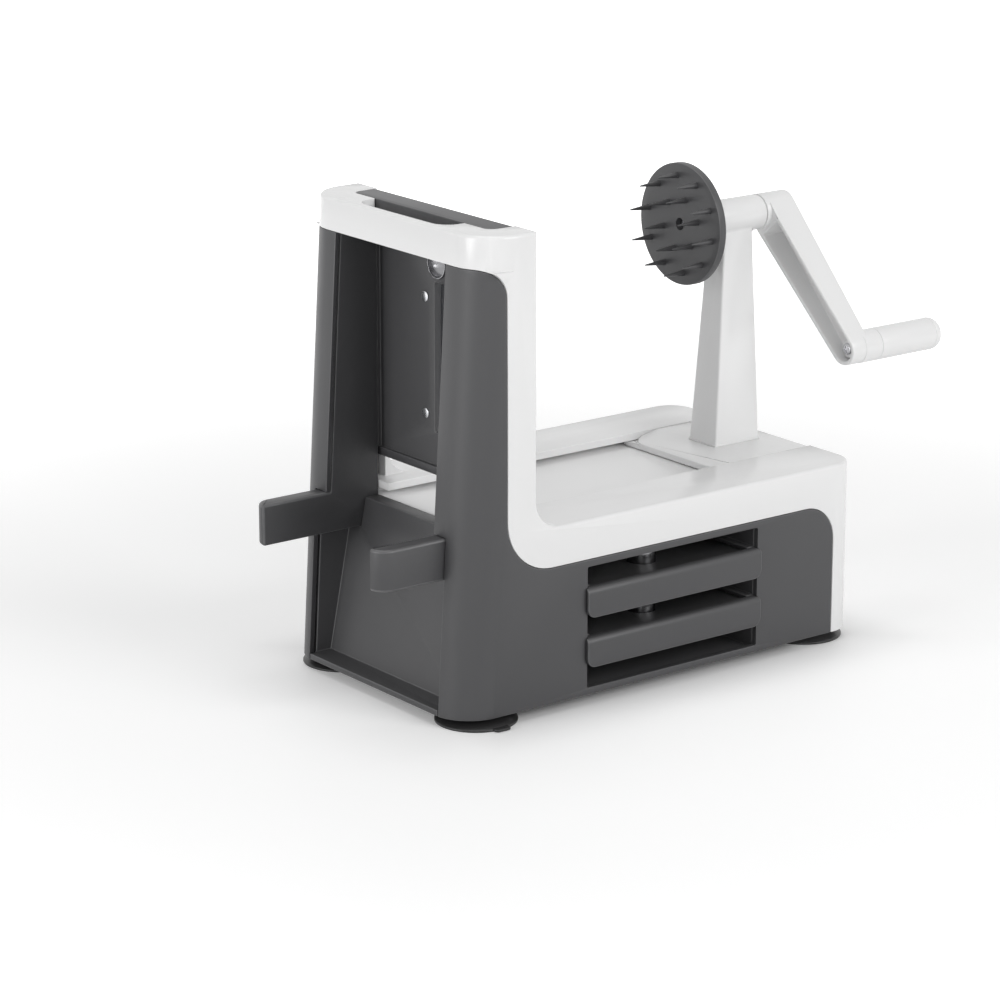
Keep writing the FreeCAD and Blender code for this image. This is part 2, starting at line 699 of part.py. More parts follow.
def side_shell(label, sign, has_window):
    """A dark side: the front leg of the tower and the side of the base, in one."""
    body = new_body(label)
    top = f"({cap_bottom} - sheet.seam_gap)"
    step = f"({seam_level} - sheet.seam_gap)"
    leg_edge = f"({leg_back} - sheet.seam_gap)"
    end = f"({band_front} - sheet.seam_gap)"
    pad(body, "XZ_Plane", *across(sign, outlet_half, side), [
        (front_at("sheet.ground_gap"), "sheet.ground_gap"),
        (end, "sheet.ground_gap"),
        (end, step),
        (leg_edge, step),
        (leg_edge, top),
        (front_at(top), top),
    ])
    round_edges(body, "sheet.seam_rear_radius - sheet.seam_gap", at_xz(end, step))
    round_edges(body, "sheet.seam_low_radius + sheet.seam_gap", at_xz(leg_edge, step))
    round_edges(body, "sheet.seam_top_radius - sheet.seam_gap", at_xz(leg_edge, top))
    low, high = "(sheet.ground_gap - 1)", f"({top} + 1)"
    pocket(body, "XZ_Plane", *across(sign, f"{outlet_half} - 1", inner_side), [
        (f"{front_at(low)} + sheet.wall", low), (f"{end} + 1", low),
        (f"{end} + 1", high), (f"{front_at(high)} + sheet.wall", high)])
    round_edges(body, "sheet.front_corner - sheet.wall", on_lean(signed(sign, inner_side), "sheet.wall"))
    round_leaning_corners(body, "sheet.front_corner", low, high, sign)
    leg_inner = f"({recess_half} + sheet.seam_gap)"
    pocket(body, "XY_Plane", "sheet.ground_gap - 1", f"{guide_top} + sheet.seam_gap",
           rectangle(f"{front} - 1", f"{front_at(guide_top)} + sheet.wall + 1",
                     *across(sign, f"{outlet_half} - 1", leg_inner)))
    if has_window:
        left, right = f"({store_x} - sheet.window_width / 2)", f"({store_x} + sheet.window_width / 2)"
        pocket(body, "XZ_Plane", *across(sign, f"{inner_side} - 1", f"{side} + 1"),
               rectangle(left, right, "sheet.window_bottom", window_top))
        round_edges(body, "sheet.window_corner", *[at_xz(x, z) for x in (left, right)
                                                   for z in ("sheet.window_bottom", window_top)])
    for x in side_screw_x:
        pad(body, "XY_Plane", side_tab_bottom, side_tab_top,
            rectangle(f"{x} - sheet.side_tab_width / 2", f"{x} + sheet.side_tab_width / 2",
                      *across(sign, f"{side_screw_y} - sheet.side_tab_reach", f"{inner_side} + 0.5")))
        pocket(body, "XY_Plane", f"{side_tab_bottom} - 1", f"{side_tab_top} + 1",
               (x, signed(sign, side_screw_y), screw_hole))
    boss_bottom = f"({plate_top} + sheet.seam_gap)"
    spot = (chute_screw_x, signed(sign, chute_screw_y))
    boss_top = f"({boss_bottom} + sheet.screw_length)"
    pad(body, "XY_Plane", boss_bottom, boss_top, (*spot, "sheet.boss_radius"))
    pocket(body, "XY_Plane", f"{boss_bottom} - 1", f"{boss_top} - sheet.boss_cap", (*spot, pilot))
    return body


def chute_line(height):
    """The sloping front of the chute at a height."""
    rise = f"({trough_floor} - {plate_top})"
    run = "(sheet.sill_front - sheet.chute_foot)"
    return f"({from_front('sheet.chute_foot')} + {run} * (({height}) - {plate_top}) / {rise})"


def chute_panel():
    """The sloping panel under the outlet with its sill, side wings and bottom plate."""
    body = new_body("chute_panel")
    thick = "sheet.chute_thickness"
    low, middle = "sheet.ground_gap", f"({guide_bottom} - sheet.seam_gap)"
    wing_outer = f"({recess_half} + {thick})"
    pad(body, "XZ_Plane", f"-{wing_outer}", wing_outer, [
        (chute_line(low), low), (f"{chute_line(low)} + {thick}", low),
        (f"{chute_line(middle)} + {thick}", middle), (chute_line(middle), middle)])
    for sign in (-1, 1):
        pad(body, "XZ_Plane", *across(sign, recess_half, wing_outer), [
            (f"{front_at(low)} + sheet.wall + sheet.wing_gap", low), (f"{chute_line(low)} + 1", low),
            (f"{chute_line(middle)} + 1", middle),
            (f"{front_at(middle)} + sheet.wall + sheet.wing_gap", middle)])
    upper_half = f"({outlet_half} - sheet.seam_gap)"
    start, sill_bottom = f"({middle} - 1)", f"({trough_floor} - {thick})"
    pad(body, "XZ_Plane", f"-{upper_half}", upper_half, [
        (chute_line(start), start), (f"{chute_line(start)} + {thick}", start),
        (f"{chute_line(sill_bottom)} + {thick}", sill_bottom), (sill_back, sill_bottom),
        (sill_back, trough_floor), (sill_front, trough_floor)])
    lip_half = f"({recess_half} - sheet.seam_gap)"
    plate_half_width = f"({inner_side} - sheet.seam_gap)"
    plate_front = f"({front_at(plate_top)} + sheet.wall + sheet.seam_gap)"
    plate_back = f"({chute_screw_x} + sheet.plate_reach)"
    corner = "(sheet.front_corner - sheet.wall - sheet.plate_corner_relief)"
    corner_x, corner_y = f"({plate_front} + {corner})", f"({inner_side} - {corner})"
    near_half = [(plate_back, f"-{plate_half_width}"), (corner_x, f"-{plate_half_width}"),
                 (plate_front, f"-{corner_y}"), (plate_front, f"-{lip_half}"),
                 (front_at(plate_top), f"-{lip_half}")]
    far_half = [(front_at(plate_top), lip_half), (plate_front, lip_half), (plate_front, corner_y),
                (corner_x, plate_half_width), (plate_back, plate_half_width)]
    pad(body, "XY_Plane", "sheet.ground_gap", plate_top, near_half + far_half)
    for sign in (-1, 1):
        pocket(body, "XY_Plane", "sheet.ground_gap - 1", f"{plate_top} + 1",
               (front_foot_x, signed(sign, front_foot_y), "sheet.stem_radius + sheet.screw_fit"))
        pocket(body, "XY_Plane", "sheet.ground_gap - 1", f"{plate_top} + 1",
               (chute_screw_x, signed(sign, chute_screw_y), screw_hole))
    return body


def outlet_guide(label, sign):
    """A cheek that lines the outlet, with the arm in front and the cartridge's groove behind."""
    body = new_body(label)
    top = f"({cap_bottom} - sheet.seam_gap)"
    low = guide_bottom
    pad(body, "XZ_Plane", *across(sign, outlet_half, f"{outlet_half} + sheet.cheek_thickness"), [
        (f"{front_at(low)} + sheet.wall + sheet.seam_gap", low), (cheek_back, low),
        (cheek_back, top), (f"{front_at(top)} + sheet.wall + sheet.seam_gap", top)])
    arm_outer = f"({outlet_half} + sheet.guide_thickness)"
    arm_tip = f"({front} - sheet.guide_reach)"
    pad(body, "XZ_Plane", *across(sign, outlet_half, arm_outer),
        rectangle(arm_tip, f"{front} + sheet.guide_root", low, guide_top))
    round_edges(body, "sheet.guide_corner", at_xy(arm_tip, signed(sign, arm_outer)))
    flange_front = f"({cheek_back} - sheet.cheek_thickness)"
    groove_end = f"({slot_back} - sheet.seam_gap)"
    groove_outer = f"({slot_half} + sheet.cheek_thickness)"
    inner = signed(sign, f"{outlet_half} + sheet.cheek_thickness - 0.5")
    edge, outer = signed(sign, slot_half), signed(sign, groove_outer)
    pad(body, "XY_Plane", "sheet.base_height + sheet.seam_gap", top, [
        (flange_front, inner), (cheek_back, inner), (cheek_back, edge),
        (groove_end, edge), (groove_end, outer), (flange_front, outer)])
    return body


def store_level(index):
    """The height of the lower edge of a stored cartridge's flange."""
    return f"(sheet.store_height - {index} * sheet.store_pitch)"


def storage_rack():
    """A tray with ledges on its side walls for the stored cartridges, and tabs to screw it up."""
    body = new_body("storage_rack")
    y_front = f"(sheet.seam_gap - {inner_side})"
    y_back = f"({y_front} + sheet.cartridge_length + sheet.rack_clearance)"
    bottom = "sheet.ground_gap"
    top = rack_tab_top
    left, right = f"({store_x} - {rack_half})", f"({store_x} + {rack_half})"
    far_left, far_right = f"({store_x} - {rack_outer})", f"({store_x} + {rack_outer})"
    pad(body, "XZ_Plane", f"{y_back} - sheet.rack_wall", y_back, rectangle(far_left, far_right, bottom, top))
    pad(body, "XZ_Plane", y_front, f"{y_back} - 0.5",
        rectangle(far_left, left, bottom, top), rectangle(right, far_right, bottom, top))
    pad(body, "XZ_Plane", y_front, f"{y_back} - 0.5",
        rectangle(f"{left} - 0.5", f"{right} + 0.5", bottom, f"{bottom} + sheet.rack_wall"))
    ledges = []
    for index in (0, 1):
        plate_low = f"({store_level(index)} + sheet.plate_offset)"
        plate_high = f"({plate_low} + sheet.plate_thickness)"
        gap = "sheet.slot_clearance"
        for low, high in ((f"{plate_low} - {gap} - sheet.rack_wall", f"{plate_low} - {gap}"),
                          (f"{plate_high} + {gap}", f"{plate_high} + {gap} + sheet.rack_wall")):
            ledges.append(rectangle(f"{left} - 0.5", f"{left} + sheet.rack_ledge", low, high))
            ledges.append(rectangle(f"{right} - sheet.rack_ledge", f"{right} + 0.5", low, high))
    pad(body, "XZ_Plane", y_front, f"{y_back} - 0.5", *ledges)
    tab_ends = ((f"{far_left} - sheet.rack_tab_length", f"{far_left} + 0.5"),
                (f"{far_right} - 0.5", f"{far_right} + sheet.rack_tab_length"))
    tabs = [rectangle(*ends, f"{signed(sign, rack_screw_y)} - sheet.rack_tab_width / 2",
                      f"{signed(sign, rack_screw_y)} + sheet.rack_tab_width / 2")
            for ends in tab_ends for sign in (-1, 1)]
    pad(body, "XY_Plane", rack_tab_bottom, rack_tab_top, *tabs)
    pocket(body, "XY_Plane", f"{rack_tab_bottom} - 1", f"{rack_tab_top} + 1",
           *[(x, signed(sign, rack_screw_y), screw_hole) for x in rack_screw_x for sign in (-1, 1)])
    return body


def suction_foot(label, x, y, tab_axis, tab_sign):
    """A rubber cup whose stem snaps through the bottom plate, with a tab to lift its rim."""
    body = new_body(label)
    radius, stem = "sheet.foot_radius", "sheet.stem_radius"
    shoulder = "sheet.ground_gap - sheet.cup_seat_gap"
    neck_top = f"({plate_top} + sheet.barb_gap)"
    barb_top = f"({neck_top} + sheet.barb_height)"
    revolve(body, "XZ_Plane", "V_Axis", [
        ("0", "sheet.cup_depth"), (f"{radius} - sheet.cup_rim_width", "sheet.cup_rim_rise"),
        (f"{radius} - sheet.cup_lip_width", "0"), (radius, "0"), (radius, "sheet.cup_edge"),
        (f"{radius} - sheet.cup_shoulder_inset", "sheet.cup_shoulder_height"),
        (f"{stem} + sheet.cup_collar", shoulder), (stem, shoulder),
        (stem, neck_top), (f"{stem} + sheet.barb_width", neck_top),
        (f"{stem} + sheet.barb_tip", barb_top), ("0", barb_top)])
    low, high = across(tab_sign, f"{radius} - sheet.tab_overlap", f"{radius} + sheet.tab_reach")
    half = "sheet.tab_width / 2"
    tab = rectangle(f"-{half}", half, low, high)
    if tab_axis == "x":
        tab = rectangle(low, high, f"-{half}", half)
    pad(body, "XY_Plane", "sheet.tab_bottom", "sheet.tab_bottom + sheet.tab_thickness", tab)
    place(body, x, y)
    return body


def carriage_slide():
    """The sliding deck between the rails, with a tongue on each side that runs under the rail."""
    body = new_body("carriage_slide")
    edge = f"({trough_half} - sheet.slide_gap)"
    tongue = f"({groove_half} - sheet.slide_gap)"
    tongue_top = f"({groove_top} - sheet.slide_gap)"
    for half_width, top in ((tongue, tongue_top), (edge, deck_top)):
        pad(body, "XY_Plane", deck_bottom, top,
            rectangle(deck_front, deck_back, f"-{half_width}", half_width))
    round_edges(body, "sheet.deck_corner", *[at_xy(deck_front, signed(sign, width))
                                             for width in (edge, tongue) for sign in (-1, 1)])
    # the nose slopes down from the post to the front edge
    fall = f"(sheet.nose_drop / ({post_x} - {deck_front}))"
    pocket(body, "XZ_Plane", f"-{edge} - 1", f"{edge} + 1", [
        (f"{deck_front} - 1", f"{deck_top} - sheet.nose_drop - {fall}"), (post_x, deck_top),
        (post_x, f"{deck_top} + 1"), (f"{deck_front} - 1", f"{deck_top} + 1")])
    spots = [(x, signed(sign, post_screw_y)) for x in post_screw_x for sign in (-1, 1)]
    recess_top = f"({deck_bottom} + sheet.screw_head_height + 0.1)"
    pocket(body, "XY_Plane", f"{deck_bottom} - 1", recess_top,
           *[(x, y, "sheet.screw_head_radius + sheet.screw_fit") for x, y in spots])
    pocket(body, "XY_Plane", deck_bottom, f"{deck_top} + 1", *[(x, y, screw_hole) for x, y in spots])
    return body


def crank_post():
    """The tapering post on its plinth, with the hub that carries the crank's shaft."""
    body = new_body("crank_post")
    post_back = f"({post_x} + sheet.post_length)"
    half = "(sheet.post_width / 2)"
    pad(body, "XY_Plane", deck_top, plinth_top, rectangle(post_x, post_back, f"-{half}", half))
    bottom = sketch_on(body, "XY_Plane", plinth_top)
    step = "sheet.post_step"
    draw_polygon(bottom, rectangle(f"{post_x} + {step}", f"{post_back} - {step}",
                                   f"-{half} + {step}", f"{half} - {step}"))
    top = sketch_on(body, "XY_Plane", axis_level)
    top_front = f"({post_x} + sheet.post_top_front)"
    top_half = "(sheet.post_top_width / 2)"
    draw_polygon(top, rectangle(top_front, f"{top_front} + sheet.post_top_length", f"-{top_half}", top_half))
    loft = body.newObject("PartDesign::AdditiveLoft", "loft")
    loft.Profile = bottom
    loft.Sections = [top]
    doc.recompute()
    hub_front, hub_back = from_front(hub_start), from_front(hub_end)
    pad(body, "YZ_Plane", hub_front, hub_back, ("0", axis_level, "sheet.hub_radius"))
    pocket(body, "YZ_Plane", f"{hub_front} - 1", f"{hub_back} + 1", ("0", axis_level, "sheet.bush_radius"))
    flange = ("0", axis_level, "sheet.bush_flange_radius")
    pocket(body, "YZ_Plane", f"{hub_front} - 1", f"{hub_front} + sheet.bush_flange_thickness", flange)
    pocket(body, "YZ_Plane", f"{hub_back} - sheet.bush_flange_thickness", f"{hub_back} + 1", flange)
    spots = [(x, signed(sign, post_screw_y)) for x in post_screw_x for sign in (-1, 1)]
    pocket(body, "XY_Plane", f"{deck_top} - 1", f"{deck_top} + sheet.screw_length",
           *[(x, y, pilot) for x, y in spots])
    return body


def bush(label, start, direction):
    """A flanged bush in one end of the hub."""
    body = new_body(label)
    fit = "sheet.shaft_fit"
    bore = f"sheet.shaft_radius + {fit}"
    flange, length = "sheet.bush_flange_thickness", "sheet.bush_length"
    if direction < 0:
        flange, length = f"-{flange}", f"-{length}"
    revolve(body, "XZ_Plane", "H_Axis", [
        ("0", bore), (length, bore), (length, f"sheet.bush_radius - {fit}"),
        (flange, f"sheet.bush_radius - {fit}"), (flange, f"sheet.bush_flange_radius - {fit}"),
        ("0", f"sheet.bush_flange_radius - {fit}")])
    place(body, from_front(start), "0", axis_level)
    return body


# The crank's pieces are drawn with the arm hanging straight down from the shaft's axis and are
# then turned about that axis to where the handle stands.
def turn_with_crank(item):
    place(item, "0", "0", axis_level, Rotation(Vector(1, 0, 0), -value("sheet.crank_angle")),
          "-sheet.crank_angle")


shaft_front = f"({from_front(hub_start)} - sheet.running_gap)"
shaft_back = from_front(crank_start)
square_length = "sheet.square_length"
holder_front = f"({shaft_front} - sheet.holder_boss_length - sheet.holder_thickness)"
channel_floor = f"({from_front(crank_top_back)} - sheet.crank_web)"
crank_screw_seat = f"({from_front(crank_start)} + {square_length} + sheet.crank_screw_web)"
holder_screw_seat = f"({shaft_front} - {square_length} - sheet.holder_screw_web)"
axle_boss_front = f"({channel_floor} - sheet.axle_boss_length)"
axle_seat = f"({axle_boss_front} + sheet.axle_screw_web)"
grip_x = from_front(grip_start)
cap_x = from_front(cap_start)
axle_shoulder = f"({cap_x} - sheet.axle_head_depth)"
reach = "sheet.crank_reach"


def square(u, v, width):
    return rectangle(f"{u} - {width} / 2", f"{u} + {width} / 2", f"{v} - {width} / 2", f"{v} + {width} / 2")


def drive_shaft():
    """The steel shaft, round in the hub and square at both ends."""
    body = new_body("drive_shaft")
    pad(body, "YZ_Plane", shaft_front, shaft_back, ("0", "0", "sheet.shaft_radius"))
    square_front, square_back = f"({shaft_front} - {square_length})", f"({shaft_back} + {square_length})"
    pad(body, "YZ_Plane", square_front, f"{shaft_front} + 0.1", square("0", "0", "sheet.square_width"))
    pad(body, "YZ_Plane", f"{shaft_back} - 0.1", square_back, square("0", "0", "sheet.square_width"))
    pocket(body, "YZ_Plane", f"{square_front} - 1", f"{square_front} + {square_length}", ("0", "0", pilot))
    pocket(body, "YZ_Plane", f"{square_back} - {square_length}", f"{square_back} + 1", ("0", "0", pilot))
    turn_with_crank(body)
    return body


def vegetable_holder():
    """The toothed disc that grips the vegetable and turns it."""
    body = new_body("vegetable_holder")
    disc_back = f"({holder_front} + sheet.holder_thickness)"
    pad(body, "YZ_Plane", holder_front, disc_back, ("0", "0", "sheet.holder_radius"))
    pad(body, "YZ_Plane", f"{disc_back} - 0.2", shaft_front, ("0", "0", "sheet.holder_boss_radius"))
    fit = "(sheet.square_width + 2 * sheet.shaft_fit)"
    square_end = f"({shaft_front} - {square_length} - sheet.square_end_gap)"
    pocket(body, "YZ_Plane", square_end, f"{shaft_front} + 1", square("0", "0", fit))
    pocket(body, "YZ_Plane", f"{holder_front} - 1", f"{square_end} + 1", ("0", "0", screw_hole))
    pocket(body, "YZ_Plane", f"{holder_front} - 1", holder_screw_seat,
           ("0", "0", "sheet.screw_head_radius + sheet.screw_fit"))
    for ring, count in (("sheet.prong_inner_ring", 6), ("sheet.prong_outer_ring", 10)):
        prong = body.newObject("PartDesign::AdditiveCone", "prong")
        prong.setExpression("Radius1", "sheet.prong_radius")
        prong.setExpression("Radius2", "sheet.prong_tip")
        prong.setExpression("Height", "sheet.prong_length + 0.5")
        prong.Placement = Placement(Vector(0, 0, 0), Rotation(Vector(0, 1, 0), -90))
        prong.setExpression("Placement.Base.x", f"{holder_front} + 0.5")
        prong.setExpression("Placement.Base.z", ring)
        doc.recompute()
        pattern = body.newObject("PartDesign::PolarPattern", "prongs")
        pattern.Originals = [prong]
        pattern.Axis = (next(item for item in body.Origin.OriginFeatures if item.Role == "X_Axis"), [""])
        pattern.Angle = 360
        pattern.Occurrences = count
        body.Tip = pattern
        doc.recompute()
    turn_with_crank(body)
    return body


def crank_arm():
    """The crank: a tapering channel, open towards the post, with a collar and a boss for the grip."""
    body = new_body("crank_arm")
    start, end_back = from_front(crank_start), from_front(crank_end_back)
    arm_front, top_back = from_front(crank_front), from_front(crank_top_back)
    top_half, end_half = "(sheet.crank_top_width / 2)", "(sheet.crank_end_width / 2)"
    pad(body, "YZ_Plane", arm_front, end_back, ("0", "0", top_half))
    pad(body, "YZ_Plane", arm_front, end_back, [
        (f"-{top_half}", "0"), (top_half, "0"), (end_half, f"-{reach}"), (f"-{end_half}", f"-{reach}")])
    pad(body, "YZ_Plane", arm_front, end_back, ("0", f"-{reach}", end_half))
    pad(body, "YZ_Plane", start, f"{arm_front} + 0.5", ("0", "0", "sheet.hub_radius"))
    low, high = f"(-{reach} - {top_half} - 3)", f"({top_half} + 3)"
    across_arm = f"(-{top_half} - 1)", f"({top_half} + 1)"
    channel_top = "(-sheet.hub_radius - sheet.channel_offset)"
    pocket(body, "XZ_Plane", *across_arm, [
        (top_back, high), (f"{end_back} + 1", high), (f"{end_back} + 1", low), (end_back, low)])
    pocket(body, "XZ_Plane", *across_arm, [
        (f"{arm_front} - 1", channel_top), (arm_front, channel_top),
        (f"{end_back} - sheet.crank_end_depth", low), (f"{arm_front} - 1", low)])
    rim, margin = "sheet.crank_rim", "sheet.channel_margin"
    pocket(body, "YZ_Plane", f"{arm_front} - 1", channel_floor, [
        (f"{rim} + {margin} - {top_half}", channel_top), (f"{top_half} - {rim} - {margin}", channel_top),
        (f"{end_half} - {rim}", f"-{reach}"), (f"{rim} - {end_half}", f"-{reach}")])
    pocket(body, "YZ_Plane", f"{arm_front} - 1", channel_floor, ("0", f"-{reach}", f"{end_half} - {rim}"))
    pad(body, "YZ_Plane", axle_boss_front, f"{channel_floor} + 0.5",
        ("0", f"-{reach}", "sheet.axle_boss_radius"))
    pad(body, "YZ_Plane", f"{channel_floor} + 1", f"{grip_x} - sheet.running_gap",
        ("0", f"-{reach}", "sheet.grip_radius"))
    pocket(body, "YZ_Plane", axle_seat, f"{grip_x} + 1",
           ("0", f"-{reach}", "sheet.axle_radius + sheet.shaft_fit"))
    pocket(body, "YZ_Plane", f"{axle_boss_front} - 1", f"{axle_seat} + 1", ("0", f"-{reach}", screw_hole))
    fit = "(sheet.square_width + 2 * sheet.shaft_fit)"
    square_end = f"({start} + {square_length} + sheet.square_end_gap)"
    pocket(body, "YZ_Plane", f"{start} - 1", square_end, square("0", "0", fit))
    pocket(body, "YZ_Plane", f"{square_end} - 1", f"{end_back} + 1", ("0", "0", screw_hole))
    pocket(body, "YZ_Plane", crank_screw_seat, f"{end_back} + 1",
           ("0", "0", "sheet.screw_head_radius + sheet.screw_fit"))
    turn_with_crank(body)
    return body


# The handle's axis, at the end of the turned arm, and the bore around the head of its axle.
handle_y = "(-sheet.crank_reach * sin(sheet.crank_angle))"
handle_z = f"({axis_level} - sheet.crank_reach * cos(sheet.crank_angle))"
wide_bore = "(sheet.axle_radius + sheet.axle_head_width + sheet.axle_head_gap)"


def grip_axle():
    """The pin that the grip turns on, with a head that keeps the grip in place."""
    body = new_body("grip_axle")
    radius, head = "sheet.axle_radius", "sheet.axle_radius + sheet.axle_head_width"
    head_front = f"({axle_shoulder} + sheet.running_gap)"
    head_back = f"({head_front} + sheet.axle_head_thickness)"
    revolve(body, "XZ_Plane", "H_Axis", [
        (axle_seat, "0"), (axle_seat, radius), (head_front, radius),
        (head_front, head), (head_back, head), (head_back, "0")])
    pocket(body, "YZ_Plane", f"{axle_seat} - 1", f"{axle_seat} + sheet.screw_length", ("0", "0", pilot))
    place(body, "0", handle_y, handle_z)
    return body


def grip_sleeve():
    """The tube that the hand holds."""
    body = new_body("grip_sleeve")
    outer, bore = "sheet.grip_radius", "sheet.axle_radius + 2 * sheet.shaft_fit"
    revolve(body, "XZ_Plane", "H_Axis", [
        (grip_x, bore), (axle_shoulder, bore), (axle_shoulder, wide_bore), (cap_x, wide_bore),
        (cap_x, outer), (grip_x, outer)])
    place(body, "0", handle_y, handle_z)
    return body


def grip_cap():
    """The rounded end of the grip, with a plug that sits in the sleeve."""
    body = new_body("grip_cap")
    end = f"({cap_x} + sheet.grip_cap_length)"
    plug, plug_end = f"({wide_bore} - sheet.shaft_fit)", f"({cap_x} - sheet.plug_length)"
    revolve(body, "XZ_Plane", "H_Axis", [
        (plug_end, "0"), (plug_end, plug), (cap_x, plug), (cap_x, "sheet.grip_radius"),
        (end, "sheet.grip_radius"), (end, "0")])
    round_edges(body, "sheet.grip_cap_length - sheet.grip_cap_flat", lambda spot: near(spot.x, end))
    place(body, "0", handle_y, handle_z)
    return body


# A cartridge is drawn with its lip's front edge at x = 0 and its top at z = 0.
cartridge_back = "(sheet.plate_offset + sheet.plate_thickness)"
ring_drop = f"({tower_top} - {axis_level})"
blade_top = f"(-{ring_drop} - sheet.coring_radius - sheet.blade_top_gap)"
blade_bottom = "(-sheet.cartridge_length + sheet.blade_foot_gap)"
comb_y = "(-sheet.comb_offset)"


def cartridge_frame(label, with_comb):
    """A plate with a flange to lift it by, a slot for the slices and a seat for the blade."""
    body = new_body(label)
    length = "sheet.cartridge_length"
    pad(body, "XY_Plane", "-sheet.lip_thickness", "0",
        rectangle("0", "sheet.flange_depth", f"-{flange_half}", flange_half))
    pad(body, "XY_Plane", "-sheet.flange_height", "-sheet.lip_thickness",
        rectangle("0", "sheet.flange_depth", f"-{plate_half}", plate_half))
    pad(body, "XY_Plane", f"-{length}", "-sheet.flange_height",
        rectangle("sheet.plate_offset", cartridge_back, f"-{plate_half}", plate_half))
    web_half = f"({plate_half} - sheet.tongue_width - sheet.web_margin)"
    pocket(body, "YZ_Plane", "sheet.plate_offset - 1", "sheet.plate_offset + sheet.web_depth",
           rectangle(f"-{web_half}", web_half, f"-{length} + sheet.foot_band",
                     "-sheet.flange_height - sheet.head_band"))
    land = "sheet.land_offset"
    pad(body, "YZ_Plane", f"{cartridge_back} - 0.5", f"{cartridge_back} + sheet.slice_thickness",
        rectangle(land, f"{land} + sheet.blade_width - sheet.land_margin",
                  f"{blade_bottom} - sheet.land_overhang", f"{blade_top} + sheet.land_overhang"))
    pocket(body, "YZ_Plane", "sheet.plate_offset", f"{cartridge_back} + 1",
           rectangle("-sheet.slot_lead", land, blade_bottom, blade_top))
    pocket(body, "YZ_Plane", "sheet.plate_offset", f"{cartridge_back} + 1",
           ("0", f"-{ring_drop}", "sheet.coring_radius + sheet.shaft_fit"))
    pocket(body, "YZ_Plane", "sheet.plate_offset", f"{cartridge_back} + sheet.slice_thickness + 1",
           *rivet_circles("sheet.rivet_radius + sheet.pilot_fit"))
    if with_comb:
        comb_half = "(sheet.comb_thickness / 2 + sheet.shaft_fit)"
        pocket(body, "YZ_Plane", "sheet.plate_offset", f"{cartridge_back} + 1",
               rectangle(f"{comb_y} - {comb_half}", f"{comb_y} + {comb_half}", blade_bottom, blade_top))
    round_edges(body, "sheet.flange_corner - sheet.flange_corner_step",
                at_xy("0", plate_half), at_xy("0", f"-{plate_half}"))
    round_edges(body, "sheet.flange_corner", at_xy("0", flange_half), at_xy("0", f"-{flange_half}"))
    round_edges(body, "sheet.flange_edge", at_xz("sheet.flange_depth", "0"))
    return body


def rivet_circles(radius):
    """Both rivets of a blade, near its two ends."""
    distance = "sheet.rivet_end_distance"
    heights = f"({blade_top} - {distance})", f"({blade_bottom} + {distance})"
    return [("sheet.rivet_offset", height, radius) for height in heights]


def cutting_blade(label):
    """A flat steel blade on its seat, ground to an edge along the slot."""
    body = new_body(label)
    low = f"({cartridge_back} + sheet.slice_thickness)"
    high = f"({low} + sheet.blade_thickness)"
    lead = "(-sheet.blade_lead)"
    heel = f"({lead} + sheet.blade_width + sheet.blade_heel)"
    pad(body, "XY_Plane", blade_bottom, blade_top,
        [(low, f"{lead} + sheet.edge_length"), (high, lead), (high, heel), (low, heel)])
    pocket(body, "YZ_Plane", f"{low} - 1", f"{high} + 1",
           *rivet_circles("sheet.rivet_radius + sheet.pilot_fit"))
    return body


def coring_ring(label):
    """The short steel tube in the middle that takes the core out."""
    body = new_body(label)
    start, end = "(sheet.plate_offset + sheet.coring_inset)", f"({cartridge_back} + sheet.coring_reach)"
    pad(body, "YZ_Plane", start, end, ("0", f"-{ring_drop}", "sheet.coring_radius"))
    pocket(body, "YZ_Plane", f"{start} - 1", f"{end} + 1",
           ("0", f"-{ring_drop}", "sheet.coring_radius - sheet.coring_wall"))
    return body


def blade_rivets(label):
    """Two rivets that hold the blade on its seat."""
    body = new_body(label)
    body.AllowCompound = True
    tail = "(sheet.plate_offset + sheet.rivet_tail_inset)"
    tail_seat = f"({tail} + sheet.rivet_tail_thickness)"
    seat = f"({cartridge_back} + sheet.slice_thickness + sheet.blade_thickness)"
    head = "sheet.rivet_radius + sheet.rivet_head_overlap"
    pad(body, "YZ_Plane", tail_seat, seat, *rivet_circles("sheet.rivet_radius"))
    pad(body, "YZ_Plane", seat, f"{seat} + sheet.rivet_head_thickness", *rivet_circles(head))
    pad(body, "YZ_Plane", tail, tail_seat, *rivet_circles(head))
    return body


def shredding_comb(label, pitch):
    """A row of small steel teeth that score the vegetable before the blade lifts it."""
    body = new_body(label)
    bottom, top = f"({blade_bottom} + sheet.comb_end_gap)", f"({blade_top} - sheet.comb_end_gap)"
    thickness = f"{comb_y} - sheet.comb_thickness / 2", f"{comb_y} + sheet.comb_thickness / 2"
    pad(body, "XZ_Plane", *thickness,
        rectangle("sheet.plate_offset + sheet.comb_root", f"{cartridge_back} + 0.5", bottom, top))
    tooth = pad(body, "XZ_Plane", *thickness, [
        (f"{cartridge_back} + 0.4", bottom),
        (f"{cartridge_back} + sheet.tooth_reach", f"{bottom} + sheet.tooth_width * 0.4"),
        (f"{cartridge_back} + 0.4", f"{bottom} + sheet.tooth_width")])
    distance = value(f"sheet.{pitch}")
    count = int((value(top) - value(bottom) - value("sheet.tooth_width")) / distance) + 1
    pattern = body.newObject("PartDesign::LinearPattern", "teeth")
    pattern.Originals = [tooth]
    pattern.Direction = (next(item for item in body.Origin.OriginFeatures if item.Role == "Z_Axis"), [""])
    pattern.setExpression("Length", f"sheet.{pitch} * {count - 1}")
    pattern.Occurrences = count
    body.Tip = pattern
    doc.recompute()
    return body


